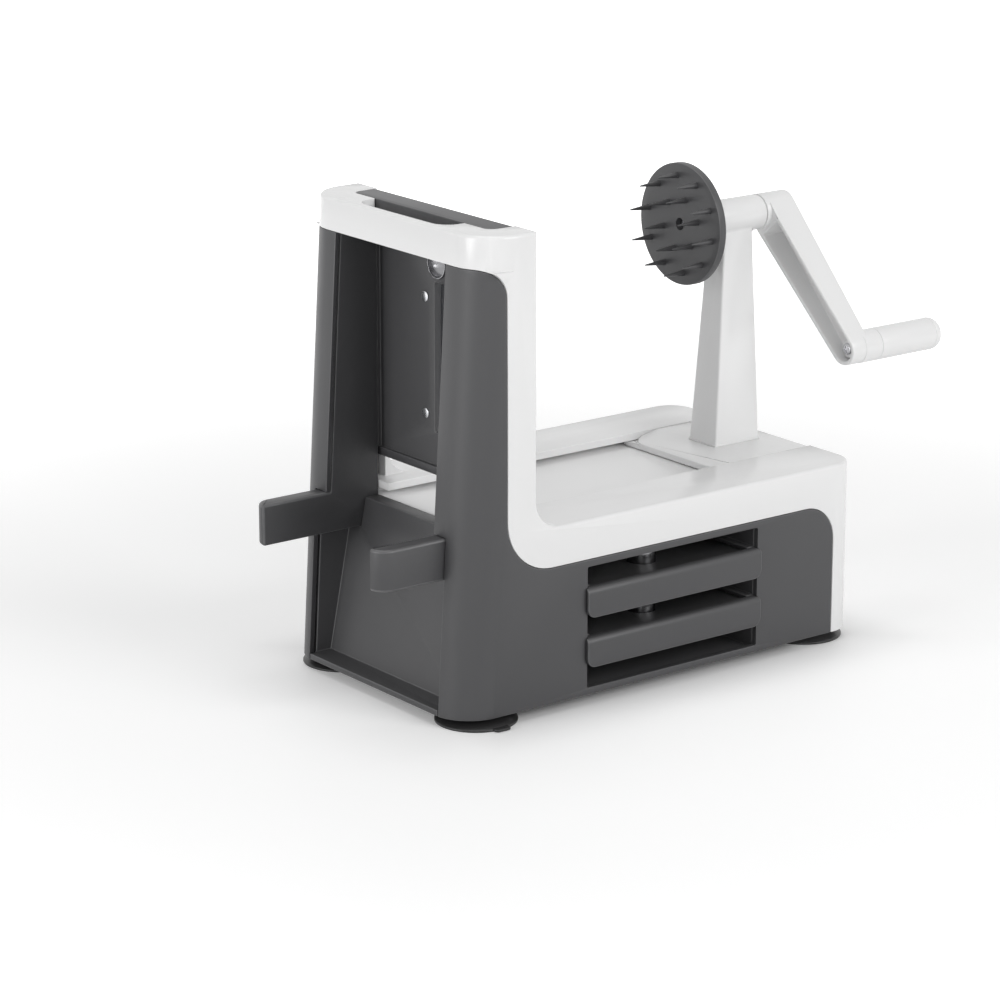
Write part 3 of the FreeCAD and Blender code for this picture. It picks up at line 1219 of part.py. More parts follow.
def cartridge(name, comb_pitch=None):
    """The pieces of one cartridge, in the cartridge's own frame. The pitch is the name of a size."""
    pieces = [
        cartridge_frame(f"{name}_frame", comb_pitch is not None),
        cutting_blade(f"{name}_blade"),
        coring_ring(f"{name}_coring_ring"),
        blade_rivets(f"{name}_blade_rivets"),
    ]
    if comb_pitch:
        pieces.append(shredding_comb(f"{name}_comb", comb_pitch))
    return pieces


def place_in_tower(pieces):
    for piece in pieces:
        place(piece, cartridge_front, "0", tower_top)


def place_in_store(pieces, index):
    """Lay the cartridge flat in the rack with its flange in the window."""
    lying = Rotation(Vector(0, 0, 1), Vector(-1, 0, 0), Vector(0, -1, 0))
    for piece in pieces:
        place(piece, store_x, store_mouth, store_level(index), lying)


def build():
    nodes = [
        top_cover(),
        side_shell("near_side_shell", -1, True),
        side_shell("far_side_shell", 1, False),
        chute_panel(),
        outlet_guide("near_outlet_guide", -1),
        outlet_guide("far_outlet_guide", 1),
        storage_rack(),
    ]
    for name, sign in (("near", -1), ("far", 1)):
        front_y, rear_y = signed(sign, front_foot_y), signed(sign, rear_foot_y)
        nodes.append(suction_foot(f"front_{name}_suction_foot", front_foot_x, front_y, "y", sign))
        nodes.append(suction_foot(f"rear_{name}_suction_foot", rear_foot_x, rear_y, "x", 1))
    nodes.append(screw_group("side_screws", [
        (x, signed(sign, side_screw_y), side_tab_bottom) for x in side_screw_x for sign in (-1, 1)]))
    nodes.append(screw_group("rack_screws", [
        (x, signed(sign, rack_screw_y), rack_tab_bottom) for x in rack_screw_x for sign in (-1, 1)]))
    nodes.append(screw_group("chute_screws", [
        (chute_screw_x, signed(sign, chute_screw_y), "sheet.ground_gap") for sign in (-1, 1)]))
    nodes.append(carriage_slide())
    nodes.append(crank_post())
    nodes.append(screw_group("post_screws", [
        (x, signed(sign, post_screw_y), f"{deck_bottom} + sheet.screw_head_height + 0.1")
        for x in post_screw_x for sign in (-1, 1)]))
    nodes.append(bush("front_bush", hub_start, 1))
    nodes.append(bush("rear_bush", hub_end, -1))
    nodes += [drive_shaft(), vegetable_holder(), crank_arm()]
    backwards, forwards = Vector(1, 0, 0), Vector(-1, 0, 0)
    nodes.append(screw_group("crank_screws", [
        (holder_screw_seat, "0", axis_level),
        (crank_screw_seat, "0", axis_level),
        (axle_boss_front, handle_y, handle_z)], [backwards, forwards, backwards]))
    nodes += [grip_axle(), grip_sleeve(), grip_cap()]
    slicing = cartridge("slicing")
    fine = cartridge("fine_shredding", "fine_pitch")
    coarse = cartridge("coarse_shredding", "coarse_pitch")
    place_in_tower(slicing)
    place_in_store(fine, 0)
    place_in_store(coarse, 1)
    return nodes + slicing + fine + coarse


def check_and_export(nodes):
    doc.recompute()
    for item in doc.Objects:
        if {"Invalid", "Error"} & set(item.State):
            raise ValueError(f"{item.Name} is {item.State}")
    for node in nodes:
        if node.Shape.isNull() or not node.Shape.isValid():
            raise ValueError(f"{node.Label} has no valid shape")
    for node in nodes:
        node.Shape.exportStep(f"parts/{node.Label}.step")


check_and_export(build())
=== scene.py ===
import json
import math

import bpy
from mathutils import Matrix, Vector
from mathutils.bvhtree import BVHTree


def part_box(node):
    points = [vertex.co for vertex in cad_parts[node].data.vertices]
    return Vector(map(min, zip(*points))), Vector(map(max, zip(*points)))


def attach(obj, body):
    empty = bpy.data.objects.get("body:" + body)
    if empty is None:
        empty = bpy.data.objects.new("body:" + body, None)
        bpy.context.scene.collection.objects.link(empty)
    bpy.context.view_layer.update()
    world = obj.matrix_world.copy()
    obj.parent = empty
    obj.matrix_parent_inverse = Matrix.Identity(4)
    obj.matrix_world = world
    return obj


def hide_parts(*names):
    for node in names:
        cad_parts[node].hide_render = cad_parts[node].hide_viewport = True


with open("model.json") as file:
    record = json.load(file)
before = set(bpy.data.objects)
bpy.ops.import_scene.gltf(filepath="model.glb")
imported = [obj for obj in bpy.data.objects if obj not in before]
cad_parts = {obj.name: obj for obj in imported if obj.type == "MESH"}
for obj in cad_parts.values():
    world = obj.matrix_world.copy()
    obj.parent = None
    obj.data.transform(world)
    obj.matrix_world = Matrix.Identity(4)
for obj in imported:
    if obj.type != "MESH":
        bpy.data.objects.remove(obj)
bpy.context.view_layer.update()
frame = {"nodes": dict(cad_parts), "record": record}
print("frame loaded:", len(frame["nodes"]), "nodes")

mm = 0.001


def selectOnly(piece):
    bpy.ops.object.select_all(action="DESELECT")
    piece.select_set(True)
    bpy.context.view_layer.objects.active = piece


def applyModifier(piece, modifier):
    selectOnly(piece)
    bpy.ops.object.modifier_apply(modifier=modifier.name)


def addObject(name, contents):
    added = bpy.data.objects.new(name, contents)
    bpy.context.scene.collection.objects.link(added)
    return added


def bodyOf(node):
    return next(body for body, nodes in frame["record"]["behaviour"]["bodies"].items() if node in nodes)


def slotOf(node):
    return next(part["material_slot"] for part in frame["record"]["subparts"] if part["node"] == node)


# Shader nodes and the node groups, each used by several materials
socketKinds = {"Colour": "NodeSocketColor", "Worn Colour": "NodeSocketColor", "Streaks": "NodeSocketVector",
               "Normal": "NodeSocketVector"}
mixInputs = {"FLOAT": (0, 2, 3), "RGBA": (0, 6, 7)}
mixOutput = {"FLOAT": 0, "RGBA": 2}
noiseMean = 0.5
bumpHeight = 0.02

# The scale, detail and roughness of each noise; the grain's scale comes from its material
noises = {"mottle": (9.0, 4.0, 0.5), "handling": (38.0, 5.0, 0.6), "wear": (70.0, 4.0, 0.65),
          "dust": (25.0, 6.0, 0.7), "streak": (1.0, 4.0, 0.6)}
grainNoise = (2.0, 0.6)
dustColour = (0.5, 0.49, 0.47, 1)
streaking = {"tint": 0.25, "gloss": 0.25, "bump": 0.15}


def feed(tree, node, values):
    # each input takes a link or a plain value
    for name, given in values.items():
        if isinstance(given, bpy.types.NodeSocket):
            tree.links.new(given, node.inputs[name])
        else:
            node.inputs[name].default_value = given


def addNode(tree, kind, values=None, **settings):
    node = tree.nodes.new(kind)
    for name, setting in settings.items():
        setattr(node, name, setting)
    if values:
        feed(tree, node, values)
    return node


def addMath(tree, operation, *values, clamp=False):
    node = addNode(tree, "ShaderNodeMath", dict(enumerate(values)), operation=operation, use_clamp=clamp)
    return node.outputs[0]


def addMix(tree, kind, *factorAndEnds):
    values = dict(zip(mixInputs[kind], factorAndEnds))
    return addNode(tree, "ShaderNodeMix", values, data_type=kind).outputs[mixOutput[kind]]


def addNoise(tree, place, scale, detail, roughness):
    values = {"Vector": place, "Scale": scale, "Detail": detail, "Roughness": roughness}
    return addNode(tree, "ShaderNodeTexNoise", values).outputs["Fac"]


def addBump(tree, height, strength):
    values = {"Height": height, "Strength": strength, "Distance": bumpHeight * mm}
    return addNode(tree, "ShaderNodeBump", values).outputs["Normal"]


def objectPlace(tree):
    return addNode(tree, "ShaderNodeTexCoord").outputs["Object"]


def tinted(tree, colour, noise, amount):
    # the colour gets lighter and darker with the noise
    tint = addMath(tree, "MULTIPLY_ADD", addMath(tree, "SUBTRACT", noise, noiseMean), amount, 1.0)
    return addNode(tree, "ShaderNodeVectorMath", {0: colour, "Scale": tint}, operation="SCALE").outputs[0]


def uneven(tree, gloss, noise, amount):
    spread = addMath(tree, "MULTIPLY", addMath(tree, "SUBTRACT", noise, noiseMean), amount)
    return addMath(tree, "ADD", gloss, spread, clamp=True)


def newGroup(name, inputs, outputs):
    group = bpy.data.node_groups.new(name, "ShaderNodeTree")
    for label, standard in inputs.items():
        kind = socketKinds.get(label, "NodeSocketFloat")
        socket = group.interface.new_socket(label, in_out="INPUT", socket_type=kind)
        socket.default_value = standard
    for label in outputs:
        kind = socketKinds.get(label, "NodeSocketFloat")
        group.interface.new_socket(label, in_out="OUTPUT", socket_type=kind)
    return group, group.nodes.new("NodeGroupInput").outputs, group.nodes.new("NodeGroupOutput")


def mouldedGroup():
    # moulded plastic: slow mottle in the colour, spark-eroded grain, and uneven gloss
    group, given, result = newGroup(
        "moulded skin",
        {"Colour": (0.8, 0.8, 0.8, 1), "Mottle": 0.04, "Grain Scale": 1500.0, "Grain Depth": 0.1,
         "Gloss": 0.3, "Gloss Spread": 0.08},
        ("Colour", "Roughness", "Normal"))
    place = objectPlace(group)
    slow = addNoise(group, place, *noises["mottle"])
    handled = addNoise(group, place, *noises["handling"])
    grain = addNoise(group, place, given["Grain Scale"], *grainNoise)
    feed(group, result, {
        "Colour": tinted(group, given["Colour"], slow, given["Mottle"]),
        "Roughness": uneven(group, given["Gloss"], handled, given["Gloss Spread"]),
        "Normal": addBump(group, grain, given["Grain Depth"])})
    return group


def wearGroup():
    # handled edges: the bevel faces carry the attribute "edge", and wear shows on them in patches
    group, given, result = newGroup(
        "edge wear",
        {"Colour": (0.8, 0.8, 0.8, 1), "Worn Colour": (0.9, 0.9, 0.9, 1), "Roughness": 0.4,
         "Worn Roughness": 0.25, "Amount": 0.5},
        ("Colour", "Roughness"))
    edge = addNode(group, "ShaderNodeAttribute", attribute_name="edge").outputs["Fac"]
    patches = addNoise(group, objectPlace(group), *noises["wear"])
    worn = addMath(group, "MULTIPLY", edge, patches)
    mask = addMath(group, "MULTIPLY", worn, given["Amount"], clamp=True)
    feed(group, result, {
        "Colour": addMix(group, "RGBA", mask, given["Colour"], given["Worn Colour"]),
        "Roughness": addMix(group, "FLOAT", mask, given["Roughness"], given["Worn Roughness"])})
    return group


def dustGroup():
    # settled dust: only on faces that look up, in soft patches
    group, given, result = newGroup(
        "dust", {"Colour": (0.8, 0.8, 0.8, 1), "Roughness": 0.4, "Amount": 0.1}, ("Colour", "Roughness"))
    normal = addNode(group, "ShaderNodeNewGeometry").outputs["Normal"]
    split = addNode(group, "ShaderNodeSeparateXYZ", {0: normal})
    upward = addMath(group, "MAXIMUM", split.outputs["Z"], 0.0)
    patches = addNoise(group, objectPlace(group), *noises["dust"])
    settled = addMath(group, "MULTIPLY", upward, patches)
    mask = addMath(group, "MULTIPLY", settled, given["Amount"], clamp=True)
    feed(group, result, {
        "Colour": addMix(group, "RGBA", mask, given["Colour"], dustColour),
        "Roughness": addMath(group, "ADD", given["Roughness"], mask, clamp=True)})
    return group


def groundGroup():
    # ground steel: fine streaks along one axis
    group, given, result = newGroup(
        "ground steel", {"Colour": (0.6, 0.6, 0.6, 1), "Streaks": (40.0, 4000.0, 40.0), "Gloss": 0.25},
        ("Colour", "Roughness", "Normal"))
    values = {0: objectPlace(group), 1: given["Streaks"]}
    stretched = addNode(group, "ShaderNodeVectorMath", values, operation="MULTIPLY").outputs[0]
    streak = addNoise(group, stretched, *noises["streak"])
    feed(group, result, {
        "Colour": tinted(group, given["Colour"], streak, streaking["tint"]),
        "Roughness": uneven(group, given["Gloss"], streak, streaking["gloss"]),
        "Normal": addBump(group, streak, streaking["bump"])})
    return group


groups = {"moulded": mouldedGroup(), "wear": wearGroup(), "dust": dustGroup(), "ground": groundGroup()}


def startMaterial(name):
    material = bpy.data.materials.new(name)
    material.use_nodes = True
    return material, material.node_tree, material.node_tree.nodes["Principled BSDF"]


def runGroup(tree, group, values):
    return addNode(tree, "ShaderNodeGroup", values, node_tree=groups[group]).outputs


def plasticMaterial(name, look):
    material, tree, shader = startMaterial(name)
    skin = runGroup(tree, "moulded", {
        "Colour": (*look["colour"], 1), "Mottle": look["mottle"], "Grain Scale": look["grainScale"],
        "Grain Depth": look["grainDepth"], "Gloss": look["gloss"], "Gloss Spread": look["glossSpread"]})
    worn = runGroup(tree, "wear", {
        "Colour": skin["Colour"], "Roughness": skin["Roughness"], "Amount": look["wear"],
        "Worn Colour": (*look["wornColour"], 1), "Worn Roughness": look["wornGloss"]})
    dusty = runGroup(tree, "dust", {
        "Colour": worn["Colour"], "Roughness": worn["Roughness"], "Amount": look["dust"]})
    feed(tree, shader, {"Base Color": dusty["Colour"], "Roughness": dusty["Roughness"],
                        "Normal": skin["Normal"], "IOR": look["ior"]})
    return material


def steelMaterial(name, look):
    material, tree, shader = startMaterial(name)
    ground = runGroup(tree, "ground", {
        "Colour": (*look["colour"], 1), "Streaks": look["streaks"], "Gloss": look["gloss"]})
    feed(tree, shader, {"Base Color": ground["Colour"], "Roughness": ground["Roughness"],
                        "Normal": ground["Normal"], "Metallic": 1.0})
    return material


whiteLook = {"colour": (0.84, 0.84, 0.84), "mottle": 0.02, "grainScale": 900.0, "grainDepth": 0.05,
             "gloss": 0.2, "glossSpread": 0.08, "wornColour": (0.9, 0.9, 0.9), "wornGloss": 0.2,
             "wear": 0.5, "dust": 0.03, "ior": 1.5}
darkLook = {"colour": (0.056, 0.056, 0.059), "mottle": 0.05, "grainScale": 1400.0, "grainDepth": 0.35,
            "gloss": 0.42, "glossSpread": 0.1, "wornColour": (0.2, 0.2, 0.205), "wornGloss": 0.3,
            "wear": 0.6, "dust": 0.05, "ior": 1.5}
rubberLook = {"colour": (0.012, 0.012, 0.013), "mottle": 0.2, "grainScale": 700.0, "grainDepth": 0.3,
              "gloss": 0.38, "glossSpread": 0.15, "wornColour": (0.05, 0.05, 0.05), "wornGloss": 0.6,
              "wear": 0.5, "dust": 0.06, "ior": 1.5}
acetalLook = {"colour": (0.72, 0.7, 0.65), "mottle": 0.03, "grainScale": 900.0, "grainDepth": 0.1,
              "gloss": 0.35, "glossSpread": 0.1, "wornColour": (0.8, 0.78, 0.74), "wornGloss": 0.3,
              "wear": 0.3, "dust": 0.02, "ior": 1.48}
bladeLook = {"colour": (0.66, 0.67, 0.69), "streaks": (5000.0, 5000.0, 60.0), "gloss": 0.22}
# the coring rings' steel is darkened: painted shade, so that the rings seen through the rack's window stay
# dim
ringPaintedShadeLook = {"colour": (0.3, 0.3, 0.31), "streaks": (60.0, 5000.0, 60.0), "gloss": 0.2}
shaftLook = {"colour": (0.6, 0.61, 0.63), "streaks": (5000.0, 60.0, 60.0), "gloss": 0.26}
screwLook = {"colour": (0.58, 0.58, 0.6), "streaks": (900.0, 900.0, 900.0), "gloss": 0.3}

finishes = {
    "white_plastic": plasticMaterial("white plastic", whiteLook),
    "dark_plastic": plasticMaterial("dark plastic", darkLook),
    "black_rubber": plasticMaterial("black rubber", rubberLook),
    "acetal": plasticMaterial("acetal", acetalLook),
    "blade_steel": steelMaterial("blade steel", bladeLook),
    "ring_steel_painted_shade": steelMaterial("ring steel painted shade", ringPaintedShadeLook),
    "shaft_steel": steelMaterial("shaft steel", shaftLook),
    "screw_steel": steelMaterial("screw steel", screwLook),
}
print("materials:", len(finishes))


def giveFinish(piece, finish):
    piece.data.materials.clear()
    piece.data.materials.append(finishes[finish])


for node, piece in frame["nodes"].items():
    giveFinish(piece, slotOf(node))


# Moulded pieces get softened edges: a copy of the node's mesh is merged, its flat faces are joined,
# and its sharp edges are bevelled, each to its own width. The bevel's faces are marked for the wear.
softening = {"angle": 28, "segments": 3, "smooth": 35, "merge": 0.03, "flat": 0.3, "shortest": 0.25,
             "stray": 0.45, "roundSegments": 2}


def smoothFaces(piece):
    selectOnly(piece)
    bpy.ops.object.shade_smooth_by_angle(angle=math.radians(softening["smooth"]))


def mergedCopy(node, name):
    piece = addObject(name, frame["nodes"][node].data.copy())
    selectOnly(piece)
    bpy.ops.mesh.customdata_custom_splitnormals_clear()
    bpy.ops.object.mode_set(mode="EDIT")
    bpy.ops.mesh.select_all(action="SELECT")
    bpy.ops.mesh.remove_doubles(threshold=softening["merge"] * mm)
    bpy.ops.mesh.dissolve_degenerate(threshold=softening["merge"] * mm)
    bpy.ops.mesh.dissolve_limited(angle_limit=math.radians(softening["flat"]))
    bpy.ops.object.mode_set(mode="OBJECT")
    return piece


def sharpEdges(piece):
    # every edge between two faces that meet at more than the set angle, with its middle
    limit = math.cos(math.radians(softening["angle"]))
    mesh = piece.data
    faces = {}
    for face in mesh.polygons:
        for key in face.edge_keys:
            faces.setdefault(key, []).append(face.normal)
    for edge in mesh.edges:
        first, second = (mesh.vertices[index].co for index in edge.vertices)
        normals = faces.get(edge.key, [])
        if len(normals) == 2 and normals[0].dot(normals[1]) < limit:
            if (first - second).length > softening["shortest"] * mm:
                yield edge.index, (first + second) / 2, normals


def putBack(piece, skin, limit):
    # where a bevel runs out along a curve, its tip goes back to the skin that it came from
    strays = 0
    for vertex in piece.data.vertices:
        place, normal, face, distance = skin.find_nearest(vertex.co)
        if distance > limit:
            vertex.co = place
            strays += 1
    print(piece.name, "vertices:", len(piece.data.vertices), "put back:", strays)


def bevelled(piece, finish, widths):
    # widths(middle, normals) gives an edge's width in mm; the largest is the modifier's own width
    chosen = [(index, widths(middle, normals)) for index, middle, normals in sharpEdges(piece)]
    largest = max(width for index, width in chosen)
    weights = piece.data.attributes.new("bevel_weight_edge", "FLOAT", "EDGE")
    for index, width in chosen:
        weights.data[index].value = width / largest
    giveFinish(piece, finish)
    piece.data.materials.append(finishes[finish])
    skin = BVHTree.FromPolygons([vertex.co.copy() for vertex in piece.data.vertices],
                                [tuple(face.vertices) for face in piece.data.polygons])
    bevel = piece.modifiers.new("softened edges", "BEVEL")
    bevel.width = largest * mm
    bevel.segments = softening["segments"]
    bevel.limit_method = "WEIGHT"
    bevel.use_clamp_overlap = False
    bevel.miter_outer = "MITER_ARC"
    bevel.material = 1
    applyModifier(piece, bevel)
    putBack(piece, skin, softening["stray"] * largest * mm)
    marks = piece.data.attributes.new("edge", "FLOAT", "FACE")
    marks.data.foreach_set("value", [float(face.material_index) for face in piece.data.polygons])
    for face in piece.data.polygons:
        face.material_index = 0
    piece.data.materials.pop(index=1)
    smoothFaces(piece)


def standFor(piece, node):
    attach(piece, bodyOf(node))
    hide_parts(node)


def softened(node, widths):
    piece = mergedCopy(node, f"{node}_moulding")
    bevelled(piece, slotOf(node), widths)
    standFor(piece, node)
    return piece


def evenly(width):
    return lambda middle, normals: width


# New shapes: turned pieces and small blocks
def roundEdges(piece, width, angle):
    rounded = piece.modifiers.new("rounded edges", "BEVEL")
    rounded.width = width * mm
    rounded.segments = softening["roundSegments"]
    rounded.limit_method = "ANGLE"
    rounded.angle_limit = math.radians(angle)
    applyModifier(piece, rounded)
    smoothFaces(piece)


def turned(name, rings, start, sides, edge):
    # a disc grows upward from ring to ring; a ring is (height, radius) in mm, and both ends are closed
    up = Vector((0, 0, 1))
    height, radius = rings[0]
    bpy.ops.object.select_all(action="DESELECT")
    bpy.ops.mesh.primitive_circle_add(vertices=sides, radius=radius * mm, fill_type="NGON",
                                      location=(start + up * height) * mm)
    piece = bpy.context.object
    piece.name = name
    bpy.ops.object.transform_apply(location=True, rotation=True, scale=True)
    bpy.ops.object.mode_set(mode="EDIT")
    bpy.ops.mesh.select_all(action="SELECT")
    for higher, wide in rings[1:]:
        bpy.ops.mesh.extrude_region_move(TRANSFORM_OT_translate={"value": up * (higher - height) * mm})
        grown = wide / radius
        bpy.ops.transform.resize(value=(grown, grown, 1), center_override=(start + up * higher) * mm)
        height, radius = higher, wide
    bpy.ops.mesh.select_all(action="SELECT")
    bpy.ops.mesh.normals_make_consistent(inside=False)
    bpy.ops.object.mode_set(mode="OBJECT")
    roundEdges(piece, edge, softening["smooth"])
    return piece


def addBlock(middle, size):
    # a block with its middle and size in metres
    bpy.ops.object.select_all(action="DESELECT")
    bpy.ops.mesh.primitive_cube_add(size=1, location=middle, scale=size)
    block = bpy.context.object
    bpy.ops.object.transform_apply(location=True, rotation=True, scale=True)
    return block


def joined(pieces, node):
    # one piece of several, in place of the node
    selectOnly(pieces[0])
    for piece in pieces:
        piece.select_set(True)
    bpy.ops.object.join()
    giveFinish(pieces[0], slotOf(node))
    standFor(pieces[0], node)


# The light cover: generous on the rims that the hand meets, fine along the seams.
# A corner is the middle of its round, seen from above, and its radius.
cover = {"side": 70.3, "capFrom": 150.0, "towerBack": -93.1, "deck": 91.0, "top": 231.0, "front": -123.9,
         "rear": 106.8, "frontCorner": (-103.9, 50.3, 20.0), "rearCorner": (92.8, 56.3, 14.0), "rim": 1.5,
         "seam": 0.4}
# How near an edge's middle lies to a face that it counts for, and how far down a face looks
coverNear = {"side": 0.2, "towerBack": 0.3, "level": 0.1, "front": 0.5, "rear": 0.3, "corner": 0.6,
             "down": -0.7}


def onCorner(x, y, corner, toward):
    # toward is -1 for a front corner and 1 for a rear one
    cornerX, cornerY, radius = corner
    beyond = (x - cornerX) * toward > 0 and y > cornerY
    return beyond and math.hypot(x - cornerX, y - cornerY) > radius - coverNear["corner"]


def coverWidths(middle, normals):
    x, y, z = (coordinate / mm for coordinate in middle)
    y = abs(y)
    outside = y > cover["side"] - coverNear["side"]
    onDeck = z > cover["deck"] - coverNear["level"]
    if x < cover["towerBack"] + coverNear["towerBack"]:  # the cap and the back of the tower
        if z > cover["capFrom"] and min(normal.z for normal in normals) < coverNear["down"]:
            return 0.0  # the cap's lower edge lies against the dark legs
        atEnd = onCorner(x, y, cover["frontCorner"], -1) or x < cover["front"] + coverNear["front"]
        onRim = z > cover["top"] - coverNear["level"] and (outside or atEnd)
        onBack = x > cover["towerBack"] - coverNear["towerBack"] and outside and onDeck
        return cover["rim"] if onRim or onBack else cover["seam"]
    atEnd = onCorner(x, y, cover["rearCorner"], 1) or x > cover["rear"] - coverNear["rear"]
    return cover["rim"] if onDeck and (outside or atEnd) else cover["seam"]


softened("top_cover", coverWidths)

# The dark shells, the chute, the guides and the rack
darkEdges = {"near_side_shell": 0.35, "far_side_shell": 0.35, "chute_panel": 0.4, "storage_rack": 0.4}
for node, width in darkEdges.items():
    softened(node, evenly(width))

guide = {"arm": 1.3, "cheek": 0.4, "armBack": -136.0}


def guideWidths(middle, normals):
    return guide["arm"] if middle.x < guide["armBack"] * mm else guide["cheek"]


for node in ("near_outlet_guide", "far_outlet_guide"):
    softened(node, guideWidths)
print("housing mouldings done")

# The suction feet: a soft cup with a thin rim, a stem that snaps into the bottom plate and a lifting tab
foot = {"radius": 19.6, "sides": 96, "edge": 0.25,
        "rings": [(2.4, 4.0), (2.0, 10.0), (0.7, 17.2), (0.0, 18.2), (0.0, 19.6), (1.0, 19.6), (1.6, 18.3),
                  (2.3, 16.2), (3.0, 13.8), (3.5, 11.4), (4.1, 8.8), (4.6, 7.2), (5.0, 6.4), (5.0, 3.4),
                  (8.2, 3.4), (8.2, 5.0), (9.0, 5.0), (11.3, 4.0)]}
tab = {"width": 9.0, "in": 3.0, "out": 2.5, "low": 0.2, "high": 1.4, "corner": 2.2, "cornerSegments": 6,
       "edge": 0.3, "edgeAngle": 30, "near": 0.1}


def liftingTab(centre, outward):
    inner, outer = foot["radius"] - tab["in"], foot["radius"] + tab["out"]
    sideways = Vector((outward.y, outward.x, 0))
    thick = tab["high"] - tab["low"]
    middle = centre + outward * (inner + outer) / 2 + Vector((0, 0, (tab["low"] + tab["high"]) / 2))
    size = outward * (outer - inner) + sideways * tab["width"]
    block = addBlock(middle * mm, (abs(size.x) * mm, abs(size.y) * mm, thick * mm))
    bpy.ops.object.mode_set(mode="EDIT")
    bpy.ops.mesh.select_mode(type="EDGE")
    bpy.ops.mesh.select_all(action="DESELECT")
    bpy.ops.object.mode_set(mode="OBJECT")
    tip = (centre + outward * outer) * mm
    for edge in block.data.edges:
        first, second = (block.data.vertices[index].co for index in edge.vertices)
        upright = abs(first.z - second.z) > thick / 2 * mm
        edge.select = upright and abs((first - tip).dot(outward)) < tab["near"] * mm
    bpy.ops.object.mode_set(mode="EDIT")
    bpy.ops.mesh.bevel(offset=tab["corner"] * mm, segments=tab["cornerSegments"], affect="EDGES")
    bpy.ops.object.mode_set(mode="OBJECT")
    roundEdges(block, tab["edge"], tab["edgeAngle"])
    return block


def suctionFoot(node, outward):
    # the tab widens the box on one side, so the middle is measured from the other side
    low, high = (Vector(corner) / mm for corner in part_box(node))
    middleY = low.y + foot["radius"] if outward.y > 0 else high.y - foot["radius"]
    if outward.x > 0:
        middleY = (low.y + high.y) / 2
    centre = Vector((low.x + foot["radius"], middleY, 0))
    cup = turned(f"{node}_cup", foot["rings"], centre, foot["sides"], foot["edge"])
    joined([cup, liftingTab(centre, outward)], node)


for side, outward in (("near", -1), ("far", 1)):
    suctionFoot(f"front_{side}_suction_foot", Vector((0, outward, 0)))
    suctionFoot(f"rear_{side}_suction_foot", Vector((1, 0, 0)))
print("suction feet done")

# The carriage: its deck and the post, finer at the plinth and on the ends of the hub
slideEdge = 0.6
softened("carriage_slide", evenly(slideEdge))

post = {"edge": 1.1, "fine": 0.3, "plinthTop": 92.5, "endFacing": 0.9}


def postWidths(middle, normals):
    onEnd = all(abs(normal.x) > post["endFacing"] for normal in normals)
    return post["fine"] if onEnd or middle.z < post["plinthTop"] * mm else post["edge"]


softened("crank_post", postWidths)

# The crank: its axis is a height, and its handle's axis is a place across and a height
crank = {"axis": 204.3, "handle": (-56.19, 143.62)}
arm = {"edge": 0.7, "collar": 0.2, "collarTo": 103.0, "collarRadius": 9.4, "bossFrom": 112.0,
       "bossRadius": 8.3}
holder = {"edge": 0.3, "rim": 29.2}
grip = {"edge": 0.3, "skin": 7.8}
turnedEdge = 0.2


def fromAxis(middle):
    return math.hypot(middle.y / mm, middle.z / mm - crank["axis"])


def fromHandle(middle):
    handleY, handleZ = crank["handle"]
    return math.hypot(middle.y / mm - handleY, middle.z / mm - handleZ)


def armWidths(middle, normals):
    along = middle.x / mm
    if along > arm["bossFrom"] and fromHandle(middle) < arm["bossRadius"]:
        return 0.0  # the boss grows out of the arm without an edge
    if along < arm["collarTo"] and fromAxis(middle) < arm["collarRadius"]:
        return arm["collar"]
    return arm["edge"]


def holderWidths(middle, normals):
    return holder["edge"] if fromAxis(middle) > holder["rim"] else 0.0


def gripWidths(middle, normals):
    return grip["edge"] if fromHandle(middle) > grip["skin"] else 0.0


softened("crank_arm", armWidths)
softened("vegetable_holder", holderWidths)
for node in ("grip_sleeve", "grip_cap"):
    softened(node, gripWidths)
for node in ("front_bush", "rear_bush", "drive_shaft", "grip_axle"):
    softened(node, evenly(turnedEdge))
print("carriage mouldings done")

# The blade cartridges; the coring rings are darker than the blades: painted shade that keeps them dim inside
# the rack
cartridge = {"frame": 0.45, "ring": 0.12, "rivet": 0.15}
cartridgeNames = ("slicing", "fine_shredding", "coarse_shredding")
for name in cartridgeNames:
    softened(f"{name}_frame", evenly(cartridge["frame"]))
for name in cartridgeNames:
    giveFinish(softened(f"{name}_coring_ring", evenly(cartridge["ring"])), "ring_steel_painted_shade")
    softened(f"{name}_blade_rivets", evenly(cartridge["rivet"]))
print("cartridge mouldings done")

# One pan head screw with a cross recess, copied to every place where the model has a screw
screw = {"sides": 40, "edge": 0.12, "head": 1.7, "barLength": 3.4, "barWidth": 0.75, "barDepth": 1.0,
         "headSpread": 2.2, "endSlice": 0.5, "turn": 37.0,
         "rings": [(-1.7, 1.5), (-1.62, 2.1), (-1.3, 2.6), (-0.9, 2.85), (-0.6, 2.9), (0.0, 2.9), (0.0, 1.5),
                   (10.6, 1.5), (12.0, 0.5)]}


def screwModel():
    piece = turned("pan head screw", screw["rings"], Vector((0, 0, 0)), screw["sides"], screw["edge"])
    length, width = screw["barLength"], screw["barWidth"]
    for along, across in ((length, width), (width, length)):
        bar = addBlock((0, 0, -screw["head"] * mm), (along * mm, across * mm, 2 * screw["barDepth"] * mm))
        recess = piece.modifiers.new("recess", "BOOLEAN")
        recess.operation = "DIFFERENCE"
        recess.object = bar
        applyModifier(piece, recess)
        bpy.data.objects.remove(bar)
    smoothFaces(piece)
    return piece


